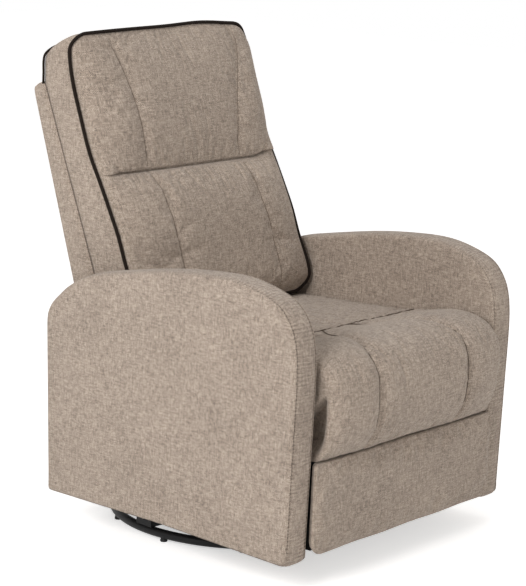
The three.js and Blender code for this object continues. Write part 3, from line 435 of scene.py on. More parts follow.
def refined(grid):
    """Twice as many rows and columns, on a smooth surface through the grid's points."""
    for axis in (0, 1):
        rows = np.moveaxis(grid, axis, 0)
        wide = np.concatenate([2 * rows[:1] - rows[1:2], rows, 2 * rows[-1:] - rows[-2:-1]])
        middle = (9 * (wide[1:-2] + wide[2:-1]) - wide[:-3] - wide[3:]) / 16
        rows = np.concatenate([np.stack([rows[:-1], middle], 1).reshape(-1, *rows.shape[1:]), rows[-1:]])
        grid = np.moveaxis(rows, 0, axis)
    return grid


def between(values):
    """A row of parameters with a step more between each two."""
    return np.interp(np.arange(2 * len(values) - 1) / 2, np.arange(len(values)), values)


def wrinkled(across, along, folds):
    """How deep folds of (start, end, depth, width), in millimetres, are at each point."""
    depth = np.zeros(across.shape)
    for (ax, ay), (bx, by), deep, wide in folds:
        length = math.hypot(bx - ax, by - ay)
        dx, dy = (bx - ax) / length, (by - ay) / length
        t = ((across - ax) * dx + (along - ay) * dy) / length
        off = (across - ax) * dy - (along - ay) * dx + 0.05 * length * np.sin(np.clip(t, 0, 1) * np.pi)
        ridge = groove(np.abs(off) - 2.1 * wide, 1.2 * wide)
        depth += deep * within(t, -0.08, 0.12, 0.35, 1.05) * (groove(off, wide) - 0.45 * ridge)
    return depth


def grid_normals(grid):
    return unit(np.cross(np.gradient(grid, axis=1), np.gradient(grid, axis=0)))


def inward_normals(grid, outside):
    """The normals that point away from a direction outside the piece."""
    normals = grid_normals(grid)
    return normals * -np.sign((normals @ np.array(outside)).mean())


CLOTH = {"quality": 6, "mass": 0.3, "tension_stiffness": 18, "compression_stiffness": 18, "shear_stiffness": 8,
         "bending_stiffness": 0.4, "use_pressure": True, "vertex_group_mass": "pins", "shrink_min": -0.02,
         "shrink_max": -0.02}
CLOTH_FRAMES = 20


def inflated(start, target, pins, pressure, cap):
    """Blows a sheet up between its pinned points as cloth, then keeps the target's broad form under its folds."""
    rows, columns, _ = start.shape
    flip = (grid_normals(start) @ np.array((0, -1, 0.3))).mean() < 0
    sheet = mesh_object("sheet", start.reshape(-1, 3), grid_faces(rows, columns, 0, flip))
    group = sheet.vertex_groups.new(name="pins")
    flat = pins.reshape(-1)
    for weight in np.unique(flat[flat > 0]):
        group.add(np.flatnonzero(flat == weight).tolist(), float(weight), "REPLACE")
    cloth = sheet.modifiers.new("cloth", "CLOTH")
    for key, value in CLOTH.items():
        setattr(cloth.settings, key, value)
    cloth.settings.uniform_pressure_force = pressure
    cloth.settings.effector_weights.gravity = 0
    cloth.collision_settings.use_collision = False
    scene = bpy.context.scene
    for step in range(1, CLOTH_FRAMES + 1):
        scene.frame_set(step)
    blown = sheet.evaluated_get(bpy.context.evaluated_depsgraph_get())
    points = np.array([v.co for v in blown.data.vertices])
    scene.frame_set(1)
    bpy.data.objects.remove(sheet)
    points[:, 1] -= SHIFT
    moved = (points * 1000).reshape(start.shape) - start
    length = np.linalg.norm(moved, axis=2)[..., None]
    blown = start + moved * np.minimum(1, cap / np.maximum(length, 1e-6))
    return blown + blurred(target - blown, 5)


def pinned_border(grid):
    """Pin weights that hold a sheet's outermost rows and columns."""
    pins = np.zeros(grid.shape)
    pins[:2] = pins[-2:] = 1
    pins[:, :2] = pins[:, -2:] = 1
    return pins


def dressed(obj, body, slot, *replaced):
    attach(obj, body)
    if replaced:
        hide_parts(*replaced)
    return obj


def lerp(a, b, share):
    return a + (b - a) * share


def smoothstep(x, low, high):
    t = np.clip((x - low) / (high - low), 0, 1)
    return t * t * (3 - 2 * t)


def within(x, low, full, high, none):
    """Rises from 0 at low to 1 at full, and falls from 1 at high to 0 at none."""
    return smoothstep(x, low, full) * (1 - smoothstep(x, high, none))


def lobes(share, crease):
    """From -1 to 1 across each of the two lobes that a crease divides."""
    return np.where(share > crease, 2 * (share - crease) / (1 - crease), 2 * share / crease) - 1


def crowded(values, power):
    """Values from -1 to 1, closer together at their ends."""
    return np.sign(values) * (1 - (1 - np.abs(values)) ** power)


def stepped(stops, counts):
    """From each stop to the next in a count of steps, without the last stop."""
    return np.concatenate([np.linspace(a, b, n, endpoint=False) for a, b, n in zip(stops, stops[1:], counts)])


def opening(size, count):
    """Steps up from nothing round a corner of some size, without its end."""
    return size * (1 - np.cos(np.linspace(0, np.pi / 2, count, endpoint=False)))


def closing(size, count):
    """Steps round a corner of some size into its end."""
    return size * np.sin(np.linspace(0, np.pi / 2, count))


def turned_in(share):
    """How far a round corner of unit size has turned in, at a share of its height."""
    return 1 - np.sqrt(1 - share**2)


def stacked(x, y, z):
    return np.stack(np.broadcast_arrays(x, y, z), -1)


def crossings(grid, field, levels, rows):
    """Points on some rows of a grid, where a field that rises along each row reaches that row's level."""
    levels = np.broadcast_to(levels, len(field))
    return np.array([[np.interp(levels[r], field[r], grid[r, :, k]) for k in range(3)] for r in rows])


def fade(share, power):
    return np.sqrt(np.maximum(0, 1 - np.abs(share) ** power))


def spline(points, steps=40):
    """A smooth curve through points, as a dense list."""
    points = np.asarray(points, float)
    last = len(points) - 1
    out = []
    for i in range(last):
        p0, p1, p2, p3 = (points[min(max(k, 0), last)] for k in (i - 1, i, i + 1, i + 2))
        v0, v1 = (p2 - p0) / 2, (p3 - p1) / 2
        t = np.linspace(0, 1, steps, endpoint=False)[:, None]
        out.append((2 * p1 - 2 * p2 + v0 + v1) * t**3 + (3 * p2 - 3 * p1 - 2 * v0 - v1) * t**2 + v0 * t + p1)
    return np.concatenate([*out, points[-1:]])


def resampled(path, shares):
    """Points at shares of a path's length."""
    length = np.concatenate([[0], np.cumsum(np.linalg.norm(np.diff(path, axis=0), axis=1))])
    at = np.asarray(shares) * length[-1]
    return np.stack([np.interp(at, length, path[:, k]) for k in range(path.shape[1])], -1)


def groove(distance, width):
    return np.exp(-((distance / width) ** 2))


# Seat cushion
SEAT_SIDE = [(1, 0.937), (0.766, 0.968), (0.531, 1), (0.411, 1.032), (0.237, 1.126), (0.133, 1.126), (0.047, 1.032),
             (0.009, 0.88), (0, 0.68), (0, 0.45), (0.016, 0.18), (0.042, 0.012), (0.1, 0)]
SEAT_ROLL, SEAT_REAR, SEAT_FOOT, SEAT_TOP = -34, 506, 257.4, 436
SEAT_CREASE = 0.427
SEAT_SEAM = [(180, 45), (105, 95), (25, 131), (-15, 150)]
SEAT_FOLDS = [((-78, 3), (-112, 52), 1.7, 4.5), ((-128, 3), (-150, 44), 1.5, 4),
              ((-186, 3), (-192, 40), 1.3, 4.5), ((84, 3), (112, 48), 1.6, 4.5), ((140, 3), (156, 42), 1.4, 4),
              ((-20, 3), (-34, 34), 0.8, 4.5), ((-120, 150), (-214, 124), 1.2, 6),
              ((122, 158), (210, 128), 1.1, 6), ((-236, 60), (-272, 92), 1.4, 6), ((10, -3), (24, -60), 1, 6),
              ((-120, -3), (-132, -52), 1, 6), ((150, -3), (164, -56), 1, 6)]


def seat():
    side = spline([(lerp(SEAT_ROLL, SEAT_REAR, d), lerp(SEAT_FOOT, SEAT_TOP, h)) for d, h in SEAT_SIDE])
    around = np.linalg.norm(np.diff(side, axis=0), axis=1).sum()

    def fields(u, v):
        line = resampled(side, v)
        tangent = unit(np.gradient(line, axis=0))
        seam_y, seam_x = zip(*SEAT_SEAM)
        ahead = np.flatnonzero((v >= SEAT_CREASE) & (np.arange(len(v)) <= np.argmin(line[:, 0])))[::-1]
        seam_x = np.interp(v, np.interp(seam_y, line[ahead, 0], v[ahead]), seam_x)[:, None]
        y, z = line[:, :1], line[:, 1:]
        U, V = np.meshgrid(u, v)
        half = lerp(283.0, 287.5, smoothstep(y, 158, 218))
        # In front of the arms the left side stands out. The right one pulls in and leaves a gap
        free = smoothstep(-y, 12, 32)
        left = half + free * (9 * within(z, 330, 375, 425, 462) - 6 * (1 - smoothstep(z, 262, 300)))
        right = half - 5 * within(z, 258, 300, 396, 420) * (v[:, None] > SEAT_CREASE)
        X = U * np.where(U > 0, left, right)
        # The roll's left side wraps back against the arm's front
        wrap = 15 * free * within(z, 330, 360, 425, 450) * smoothstep(U, 0.93, 1)
        off_seam = np.abs(np.abs(X) - seam_x)
        return y, z, tangent, half, U, V, X, seam_x, off_seam, (V - SEAT_CREASE) * around, wrap

    u = crowded(np.linspace(-1, 1, 121), 1.2)
    v = np.append(stepped((0, 0.37, 0.49, 1), (36, 30, 87)), 1)
    y, z, tangent, half, U, V, X, seam_x, off_seam, down, wrap = fields(u, v)
    front, lobe = V >= SEAT_CREASE, lobes(V, SEAT_CREASE)
    roll = within(V, SEAT_CREASE, 0.8, 0.86, 0.985)
    crown = np.where(front, fade(U, 4.2) * roll * 31, fade(U, 3.2) * fade(lobe, 2) * 10)
    on_front = front & (V < 0.985)
    dip = groove(off_seam, 20) * on_front * 5.5 * fade(lobe, 4) * (1 - smoothstep(V, 0.86, 0.985))
    dip = dip * smoothstep(down, 50, 130)
    crease = groove(down, 6) * fade(U * 0.985, 8)

    def shape(share):
        lift = crown * share - dip - crease * 6
        return stacked(X, y + tangent[:, 1:] * lift + wrap, z - tangent[:, :1] * lift)

    pins = pinned_border(U)
    pins[np.abs(down) < 4] = 1
    pins[(off_seam < 3) & on_front] = 0.92
    outer = refined(inflated(shape(0.72), shape(1.0), pins, 5, 22))
    y, z, tangent, half, U, V, X, seam_x, off_seam, down, wrap = fields(between(u), between(v))
    on_front = (V >= SEAT_CREASE) & (V < 0.985)
    # On the top, where the eye skims over it, the seam lies shallow
    deep = groove(off_seam, 3.4) * on_front * lerp(0.7, 3.2, smoothstep(down, 70, 190))
    # Fullness gathered into the seams, and folds that start at the crease
    pucker = np.sin(down / 1.7 + 2 * np.sin(down / 23)) * 0.35 * groove(np.abs(off_seam - 8), 6) * on_front
    deep = deep + pucker * smoothstep(down, 10, 40) + wrinkled(X, down, SEAT_FOLDS)
    # The crease is a narrow cut, with the roll standing up steeply in front of it
    deep = deep + (groove(down, 2.8) * 6 - within(down, 1, 8, 10, 62) * 5) * fade(U * 0.985, 8)
    # The lobe beside the right arm starts lower down
    deep = deep + 6 * smoothstep(-X - seam_x, 0, 40) * within(down, 5, 40, 90, 150)
    outer = outer + inward_normals(outer, (0, -1, 1)) * deep[..., None]
    # Underneath it lies flat on the springs, then drops behind the roll
    deck, drop_y, turn = 349.1, 39.7, 0.66
    under_y = lerp(SEAT_REAR, drop_y, np.minimum(V / turn, 1))
    under_z = lerp(deck, SEAT_FOOT + 0.4, np.clip((V - turn) / (1 - turn), 0, 1))
    under = stacked(np.clip(X / half, -1, 1) * (half - 5), under_y, under_z)

    def boxing(border, share):
        """Behind the roll's edges its sides turn in, which leaves room for the footrest's links."""
        x, y, z = border.T
        hollow = within(z, 262, 290, 394, 408) * (x < 0) * (y < 20)
        wide = np.clip(x - 281, 0, 12)
        turn_in = 28 * hollow * smoothstep(share, 0.12, 0.35) + wide * smoothstep(share, 0.06, 0.2) * (1 - share)
        return math.sin(math.pi * share) ** 0.5 - turn_in

    obj = skin("seat_cushion_cover", outer, under, 12, boxing)
    dressed(obj, "seat", "cushion_fabric", "seat_cushion")
    rows = np.flatnonzero((down[:, 0] > 4) & (V[:, 0] < 0.98))
    for name, sign in SIDES.items():
        path = crossings(outer, X, sign * seam_x[:, 0], rows)
        # Near the crease the thread lies on top of the cloth
        path[:, 2] += 1.5 * (1 - smoothstep(down[rows, 0], 70, 130))
        seam_thread_and_shade(f"{name}_seat_seam", path, "seat", 1.0, stitch_and_shade_thread)
    # A dark line along the crease, painted shade for the crease's shadow, raised to show behind the roll's rim
    columns = np.flatnonzero(np.abs(U[0]) < 0.985)
    path = crossings(outer.swapaxes(0, 1), down.T, 8.5, columns) + (0, 2.4, 1.0)
    seam_thread_and_shade("seat_crease_shade_line", path, "seat", 1.2, stitch_and_shade_thread)


# Back cushion
FRONT_EDGE = [(0, 0.06), (0.07, 0), (0.221, 0.18), (0.31, 0.278), (0.391, 0.392), (0.485, 0.531),
              (0.592, 0.694), (0.726, 0.837), (0.847, 0.952), (0.952, 1), (1, 0.957)]
REAR_EDGE = [(0, 0), (0.22, 0), (0.64, 0.02), (0.85, 0.24), (1, 0.56)]
FOOT, HEIGHT, REAR_DROP, CUSHION_HALF, ARCH = 442, 570, 16, 276, 5
TOP_CORNERS, FOOT_CORNER = {"left": 58, "right": 32}, 34
# The lines along the back's side where the outside back meets the cushion, and where it turns to the rear
RIDGE_FOOT, RIDGE_TOP, SHELL_FOOT, SHELL_TOP = np.array([(538, 365), (759, 908), (611, 345), (786, 892)], float)
BACK_CREASE = 0.516
# Height, and how far from the middle the left and the right seam are there
BACK_SEAM = [(438, 178, 124), (530, 179, 125), (566, 176, 127), (608, 170, 134), (641, 162, 136), (686, 153, 141),
             (725, 147, 146), (743, 144, 149), (772, 142, 149), (817, 151, 149), (856, 160, 151), (900, 177, 156),
             (950, 199, 168), (980, 208, 177), (1005, 216, 190)]
# How far the lumbar cushion and the head pillow stand out in all, and their share of it by the back's height
LUMBAR_DEEP, HEAD_DEEP = 47, 54
LUMBAR_BULGE = [(0, 0), (0.055, 0.17), (0.108, 0.3), (0.16, 0.43), (0.2125, 0.58), (0.265, 0.73), (0.317, 0.86),
                (0.37, 0.96), (0.42, 1), (0.46, 0.98), (0.49, 0.8), (0.507, 0.58), (0.516, 0.42)]
HEAD_BULGE = [(0.516, 0.42), (0.535, 0.54), (0.561, 0.68), (0.6, 0.82), (0.631, 0.91), (0.675, 0.98), (0.718, 1),
              (0.805, 0.98), (0.86, 0.91), (0.91, 0.77), (0.95, 0.57), (0.98, 0.33), (1, 0)]


def along(table, share):
    """y for a share, smoothly through a table's points."""
    last = len(table) - 1
    row = next((i for i in range(1, last + 1) if share <= table[i][0]), last) - 1
    (x0, y0), (x1, y1) = table[row], table[row + 1]

    def slope(i):
        a, b = table[max(i - 1, 0)], table[min(i + 1, last)]
        return (b[1] - a[1]) / (b[0] - a[0]) * (x1 - x0)

    t = (share - x0) / (x1 - x0)
    return (y0 * (2 * t**3 - 3 * t**2 + 1) + y1 * (3 * t**2 - 2 * t**3)
            + slope(row) * (t**3 - 2 * t**2 + t) + slope(row + 1) * (t**3 - t**2))


def front_edge(share):
    return 476 + 209 * along(FRONT_EDGE, share), FOOT + share * HEIGHT


def rear_edge(share):
    rise = HEIGHT - REAR_DROP
    z = FOOT + share * rise
    if z <= RIDGE_TOP[1]:
        return lerp(RIDGE_FOOT[0], RIDGE_TOP[0], (z - RIDGE_FOOT[1]) / (RIDGE_TOP[1] - RIDGE_FOOT[1])) - 0.3, z
    free = (z - RIDGE_TOP[1]) / (FOOT + rise - RIDGE_TOP[1])
    return RIDGE_TOP[0] - 0.3 - (RIDGE_TOP[0] - 685) * along(REAR_EDGE, free), z


def half_at(share, side):
    """The cushion's half width at a share of its height, and the way its edge faces there."""
    top = TOP_CORNERS[side]
    into_top = min(1.0, max(0.0, 1 - (1 - share) * HEIGHT / top))
    into_foot = min(1.0, max(0.0, 1 - share * HEIGHT / FOOT_CORNER))
    half = CUSHION_HALF - top * turned_in(into_top) - FOOT_CORNER * turned_in(into_foot)
    return half, math.asin(into_top) - math.asin(into_foot)


def arch_at(x, share):
    """The top edge is arched, and a little fuller on the left."""
    return (ARCH * (1 - (x / CUSHION_HALF) ** 2) + 5 * np.exp(-(((x - 112) / 85) ** 2))) * share**6


BACK_FOLDS = [((-150, -4), (-118, -92), 2, 5), ((-52, -4), (-20, -80), 1.7, 5),
              ((-96, -4), (-74, -58), 1.4, 4.5), ((52, -4), (66, -74), 1.5, 5), ((150, -4), (168, -86), 1.8, 5),
              ((200, -4), (212, -60), 1.4, 5), ((-205, -4), (-214, -52), 1.6, 5), ((8, -4), (14, -46), 1.1, 4.5),
              ((108, -4), (112, -50), 1.2, 4.5), ((-226, 2), (-246, 34), 1.8, 5), ((226, 2), (250, 36), 1.8, 5),
              ((-120, 4), (-124, 44), 1, 5), ((60, 4), (58, 52), 0.9, 5), ((196, 130), (214, 226), 1.6, 7),
              ((232, 60), (240, 160), 0.7, 7), ((-206, 150), (-220, 232), 1.3, 7),
              ((-244, -150), (-238, -236), 1.3, 7), ((196, -160), (188, -250), 1.3, 7)]


def back_cushion():
    corner, foot = max(TOP_CORNERS.values()) / HEIGHT, FOOT_CORNER / HEIGHT

    def fields(u, shares):
        U, S = np.meshgrid(u, shares)
        edge = np.array([front_edge(s) for s in shares])
        left, right = (np.array([half_at(s, side)[0] for s in shares])[:, None] for side in SIDES)
        X = U * np.where(U > 0, left, right)
        height, *from_middle = zip(*BACK_SEAM)
        seams = [np.interp(edge[:, 1], height, x) for x in from_middle]
        off_seam = np.abs(np.abs(X) - np.where(X > 0, *(x[:, None] for x in seams)))
        # The crease turns up towards its left end
        up = (S - BACK_CREASE) * HEIGHT - 9 * smoothstep(X, 185, 268)
        return U, S, edge, X, arch_at(X, S), seams, off_seam, up

    shares = np.concatenate([
        opening(foot, 10), stepped((foot, 0.47, 0.504, 0.528, 0.575, 1 - corner), (42, 10, 18, 12, 36)),
        1 - corner + closing(corner, 14),
    ])
    u = crowded(np.linspace(-1, 1, 117), 1.2)
    U, S, edge, X, arch, seams, off_seam, up = fields(u, shares)
    level = up / HEIGHT + BACK_CREASE
    table = [(s, HEAD_DEEP * along(HEAD_BULGE, s) if s > BACK_CREASE else LUMBAR_DEEP * along(LUMBAR_BULGE, s))
             for s in np.linspace(0, 1, 1001)]
    stand = np.interp(level, *zip(*table))
    # The crease fades out into the boxing at each side
    stand = lerp(stand, np.maximum(stand, 44), smoothstep(np.abs(X), 228, 272) * groove(up, 55))
    # The pillow is fullest on the left
    full_left = np.where(U > 0, fade(U, 6.2) * (1 + 0.12 * smoothstep(U, 0.3, 0.85)), fade(U, 4.6))
    bulge = stand * np.where(level > BACK_CREASE, full_left, fade(U, 2.5))
    dip = groove(off_seam, 22) * 3.6 * stand / HEAD_DEEP
    at_crease = 1 - smoothstep(np.abs(X), 232, 262)

    def shape(share):
        lift = bulge * share - dip * share - groove(up, 3.4) * at_crease * 4
        return stacked(X, edge[:, :1] - lift, edge[:, 1:] + arch)

    pins = pinned_border(U)
    pins[(np.abs(up) < 5) & (np.abs(X) < 245)] = 1
    pins[off_seam < 3] = 0.88
    # Beside the piping the cover is drawn smooth
    calm = smoothstep(np.abs(U), 0.8, 0.94)[..., None]
    outer = refined(lerp(inflated(shape(0.76), shape(1.0), pins, 5, 26), shape(1.0), calm))
    U, S, edge, X, arch, seams, off_seam, up = fields(between(u), between(shares))
    open_seam = smoothstep(np.abs(up), 2, 14) * (1 - smoothstep(S, 0.955, 0.985))
    pucker = np.sin(up / 1.8 + 2 * np.sin(up / 31)) * 0.3 * groove(np.abs(off_seam - 8), 6)
    deep = open_seam * (groove(off_seam, 3.0) * 1.9 + pucker * fade(lobes(S, BACK_CREASE), 6))
    at_crease = 1 - smoothstep(X, 236, 272) * 0.9 - smoothstep(-X, 236, 250)
    deep = deep + wrinkled(X, up, BACK_FOLDS) + groove(up, 1.3) * at_crease * (2.8 + 2 * smoothstep(-X, 150, 225))
    deep = deep * smoothstep(1 - np.abs(U), 0, 0.03)
    outer = outer + inward_normals(outer, (0, -1, 0)) * deep[..., None]
    rear = np.array([rear_edge(s) for s in S[:, 0]])
    behind = stacked(X, rear[:, :1], rear[:, 1:] + arch)

    def boxing(border, share):
        """The boxing is crowned, most along the top, where it hides the rear welt from the front."""
        return (2.0 + 9 * smoothstep(border[:, 2], 965, 1006)) * math.sin(math.pi * share) ** 0.7

    obj = skin("back_cushion_cover", outer, behind, 12, boxing)
    dressed(obj, "back", "cushion_fabric", "back_cushion")
    height = up[:, 0]
    for part, rows in (("low", (height < -7) & (S[:, 0] > 0.06)), ("high", (height > 9) & (S[:, 0] < 0.96))):
        for (name, sign), seam_x in zip(SIDES.items(), seams):
            path = crossings(outer, X, sign * seam_x, np.flatnonzero(rows))
            seam_thread_and_shade(f"{name}_{part}_back_seam", path, "back", 0.8, soft_thread_and_shade)
    middle = X[len(X) // 2]
    # A dark line at the bottom of the crease, painted shade for the crease's shadow
    path = crossings(outer.swapaxes(0, 1), up.T, 0, np.flatnonzero((middle > -238) & (middle < 228)))
    seam_thread_and_shade("back_crease_shade_line", path, "back", 0.6, stitch_and_shade_thread)


WELT, WELT_GAP = 7.5, 0.6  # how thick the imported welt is, and how far off the cushion


def piping_path(edge, start, sink=0.0):
    """Round the cushion's edge from a share of its height. sink is how far the top run lies down behind the edge."""
    out = WELT / 2 + WELT_GAP
    foot = FOOT_CORNER / HEIGHT

    def side_run(side):
        sign, corner = SIDES[side], TOP_CORNERS[side] / HEIGHT
        shares = [np.linspace(max(start, foot), 1 - corner, 60, endpoint=False), 1 - corner + closing(corner, 16)]
        if start < foot:
            shares.insert(0, opening(foot, 10))
        run = []
        for s in np.concatenate(shares):
            (y, z), (x, turn) = edge(s), half_at(s, side)
            down = sink * max(0.0, math.sin(turn))
            lift = arch_at(sign * x, s) + out * math.sin(turn) - down
            run.append((sign * (x + out * math.cos(turn)), y + 0.5 * down, z + lift))
        if start < foot:
            x, y, z = run[0]
            run.insert(0, (x - sign * 26, y + 1.5, z + 1))
        return run

    left, right = (side_run(side) for side in SIDES)
    y, z = edge(1)
    across = np.linspace(left[-1][0], right[-1][0], 62)[1:-1]
    top = [(x, y + 0.5 * sink, z + out - sink + arch_at(x, 1)) for x in across]
    return np.array(left + top + right[::-1])


# Footrest pad
FOOTREST_FOLDS = [((-250, 82), (-238, 20), 0.9, 7), ((-120, 84), (-128, 30), 0.8, 8), ((30, 84), (36, 26), 0.8, 8),
                  ((170, 84), (160, 24), 0.8, 8), ((262, 84), (250, 30), 1.0, 7), ((-262, -84), (-244, -30), 0.9, 7),
                  ((90, -86), (98, -40), 0.7, 8), ((250, -86), (240, -34), 0.9, 7)]


def footrest():
    half, front_half, bottom, tall, rear = 290, 297, 72, 183.4, -4.3
    foot_corner, top_corner = 30, 9
    low, high = 2 * foot_corner / tall, 2 * top_corner / tall
    v = np.concatenate([-1 + opening(low, 12), np.linspace(-1 + low, 1 - high, 30, endpoint=False),
                        1 - high + closing(high, 7)])
    U, V = np.meshgrid(crowded(np.linspace(-1, 1, 97), 1.4), v)
    z = bottom + tall / 2 + V * tall / 2
    # Its corners are round, the lower ones the most
    into_foot = np.clip(1 - (V + 1) / low, 0, 1)
    into_top = np.clip(1 - (1 - V) / high, 0, 1)
    corners = foot_corner * turned_in(into_foot) + top_corner * turned_in(into_top)

    def shape(share):
        proud = 13.4 + 6 * fade(U, 30) * fade(V, 12) + 6 * share * fade(U, 2) * fade(V, 2)
        wave = 0.7 * np.sin(U * 9 + 0.8) * smoothstep(-V, 0.5, 1.0)
        return stacked(U * (front_half - corners), rear - proud, z + wave)

    outer = inflated(shape(0.5), shape(1.0), pinned_border(U), 2, 6)
    outer[..., 1] += wrinkled(U * half, V * tall / 2, FOOTREST_FOLDS)
    back = stacked(U * (half - corners), rear, z)
    obj = skin("footrest_pad_cover", outer, back, 6, lambda border, share: 1.6 * math.sin(2 * math.pi * share))
    finer(obj)
    dressed(obj, "footrest_panel", "cushion_fabric", "footrest_pad")


# Arms
ARM_TOP = [(0.0015, 0.738), (0.012, 0.825), (0.036, 0.889), (0.079, 0.942), (0.16, 0.979), (0.253, 0.998),
           (0.362, 0.994), (0.512, 0.974), (0.707, 0.93), (0.825, 0.896), (0.904, 0.845), (0.945, 0.802),
           (0.978, 0.762), (0.997, 0.719), (1, 0.672)]
ARM_COUNT = 420


def relaxed(loop, times):
    for _ in range(times):
        loop = (np.roll(loop, 1, 0) + 2 * loop + np.roll(loop, -1, 0)) / 4
    return loop


def arm_outline():
    """The arm's rim as a closed loop of (y, z), from the middle of its foot forwards and over the top."""
    path = np.array([(0.5, 0), (0.012, -0.02), *spline([(0, 0.638), *ARM_TOP]), (0.979, 0), (0.5, 0)])
    path = path * (668, 530) + (-12, 70)
    return relaxed(resampled(path, np.linspace(0, 1, ARM_COUNT, endpoint=False)), 4)


# Across the rim from the face to the middle of the band: distance in from the rim, distance in from the face.
# The face turns over the rim into the stitched groove, and the band is crowned beyond it.
ARM_EDGE = [(30, 0.4), (20, 0.3), (13, 0.2), (9, 0.3), (6.6, 0.6), (4.6, 1.2), (3.1, 2.0), (1.9, 3.0), (1.1, 4.1),
            (0.9, 5.1), (1.3, 5.9), (2.1, 6.5), (2.6, 6.9), (2.4, 7.3), (1.5, 7.9), (0.5, 8.9), (-0.2, 10.4),
            (-0.9, 13), (-1.4, 17), (-1.9, 23), (-2.0, 33.8)]
ARM_DEPTHS = [0.82, 0.7, 0.58, 0.46, 0.36, 0.28, 0.2]


def arm(side, sign):
    rim = arm_outline()
    tangent = unit(np.roll(rim, -1, 0) - np.roll(rim, 1, 0))
    out = np.stack([-tangent[:, 1], tangent[:, 0]], -1)
    # Further in, the rings leave the corners of the feet on a wider curve
    wide = relaxed(out, 120)
    inner_rim = rim - wide * 30
    spine = np.stack([np.clip(lerp(322.0, inner_rim[:, 0], 0.6), 170, 480), np.full(len(rim), 320.0)], -1)
    on_foot = smoothstep(rim[:, 1], 72, 110)

    def face(at, step):
        """Rings from the spine of one face out to the middle of the band."""
        rings = []
        for depth in ARM_DEPTHS:
            swell = 2.6 * smoothstep(depth, 0.0, 0.6)
            rings.append((lerp(inner_rim, spine, (depth - 0.14) / 0.86), 0.4 - swell))
        # The grooves run out at the foot, where the cover is pulled under
        for inset, deep in ARM_EDGE:
            moved = rim - lerp(out, wide, smoothstep(inset, 1.5, 9)) * inset
            rings.append((moved, lerp(min(deep, 1.2) if inset > 2 else deep, deep, on_foot)))
        return [np.column_stack([np.full(len(p), sign * (at + step * deep)), p]) for p, deep in rings]

    rings = face(ARM_OUTER, -1) + face(ARM_INNER, 1)[-2::-1]
    obj = solid(f"{side}_arm_cover", np.concatenate(rings), ring_faces(len(rings), len(rim)), cover)
    obj.data.materials.append(band_cover)
    half = (ARM_OUTER - ARM_INNER) / 2000
    middle = sign * (ARM_OUTER + ARM_INNER) / 2000
    for polygon in obj.data.polygons:
        if abs(polygon.center.x - middle) < half - 0.0036 and abs(polygon.normal.x) < 0.8:
            polygon.material_index = 1
    pieces = (f"{side}_arm_{piece}" for piece in ("band", "outer_cover", "inner_cover"))
    dressed(obj, "carriage", "cover_fabric", *pieces)
    order = np.flatnonzero(rim[:, 1] > 84)  # the foot has no seam
    for name, at, step in (("outer", ARM_OUTER, -1), ("inner", ARM_INNER, 1)):
        path = np.column_stack([np.full(len(order), sign * (at + step * 6.9)), (rim - out * 1.9)[order]])
        facing = np.column_stack([np.zeros(len(order)), out[order]])
        stitches(f"{side}_arm_topstitch_{name}", path, facing)


STITCH_LENGTH, STITCH_PITCH, STITCH_WIDTH = 4.6, 7.4, 2.7
# Along a stitch: the share of its length from its middle, the share of its width, and its height
STITCH = ((-0.5, 0.5, -0.3), (-0.28, 1, 0.45), (0.28, 1, 0.45), (0.5, 0.5, -0.3))


def stitches(name, path, facing):
    """A row of small raised stitches along a path."""
    total = np.linalg.norm(np.diff(path, axis=0), axis=1).sum()
    count = int(total / STITCH_PITCH)
    points, faces = [], []
    shares = (np.arange(count) + 0.5) / count
    middle = resampled(path, shares)
    ahead = resampled(path, np.minimum(shares + 0.5 * STITCH_LENGTH / total, 1))
    for m, a, n in zip(middle, ahead, resampled(facing, shares)):
        t, n = unit(a - m), unit(n)
        side = np.cross(t, n) * STITCH_WIDTH / 2
        start = len(points)
        for s, wide, high in STITCH:
            at = m + t * STITCH_LENGTH * s
            points += [at - side * wide + n * high, at + side * wide + n * high, at - n * 0.5]
        for i in range(start, start + 9, 3):
            faces += [(i, i + 1, i + 4, i + 3), (i + 1, i + 2, i + 5, i + 4), (i + 2, i, i + 3, i + 5)]
        faces += [(start, start + 2, start + 1), (start + 9, start + 10, start + 11)]
    obj = mesh_object(name, np.array(points), faces, stitch_and_shade_thread)
    smooth(obj, 50)
    dressed(obj, "carriage", "cover_fabric")


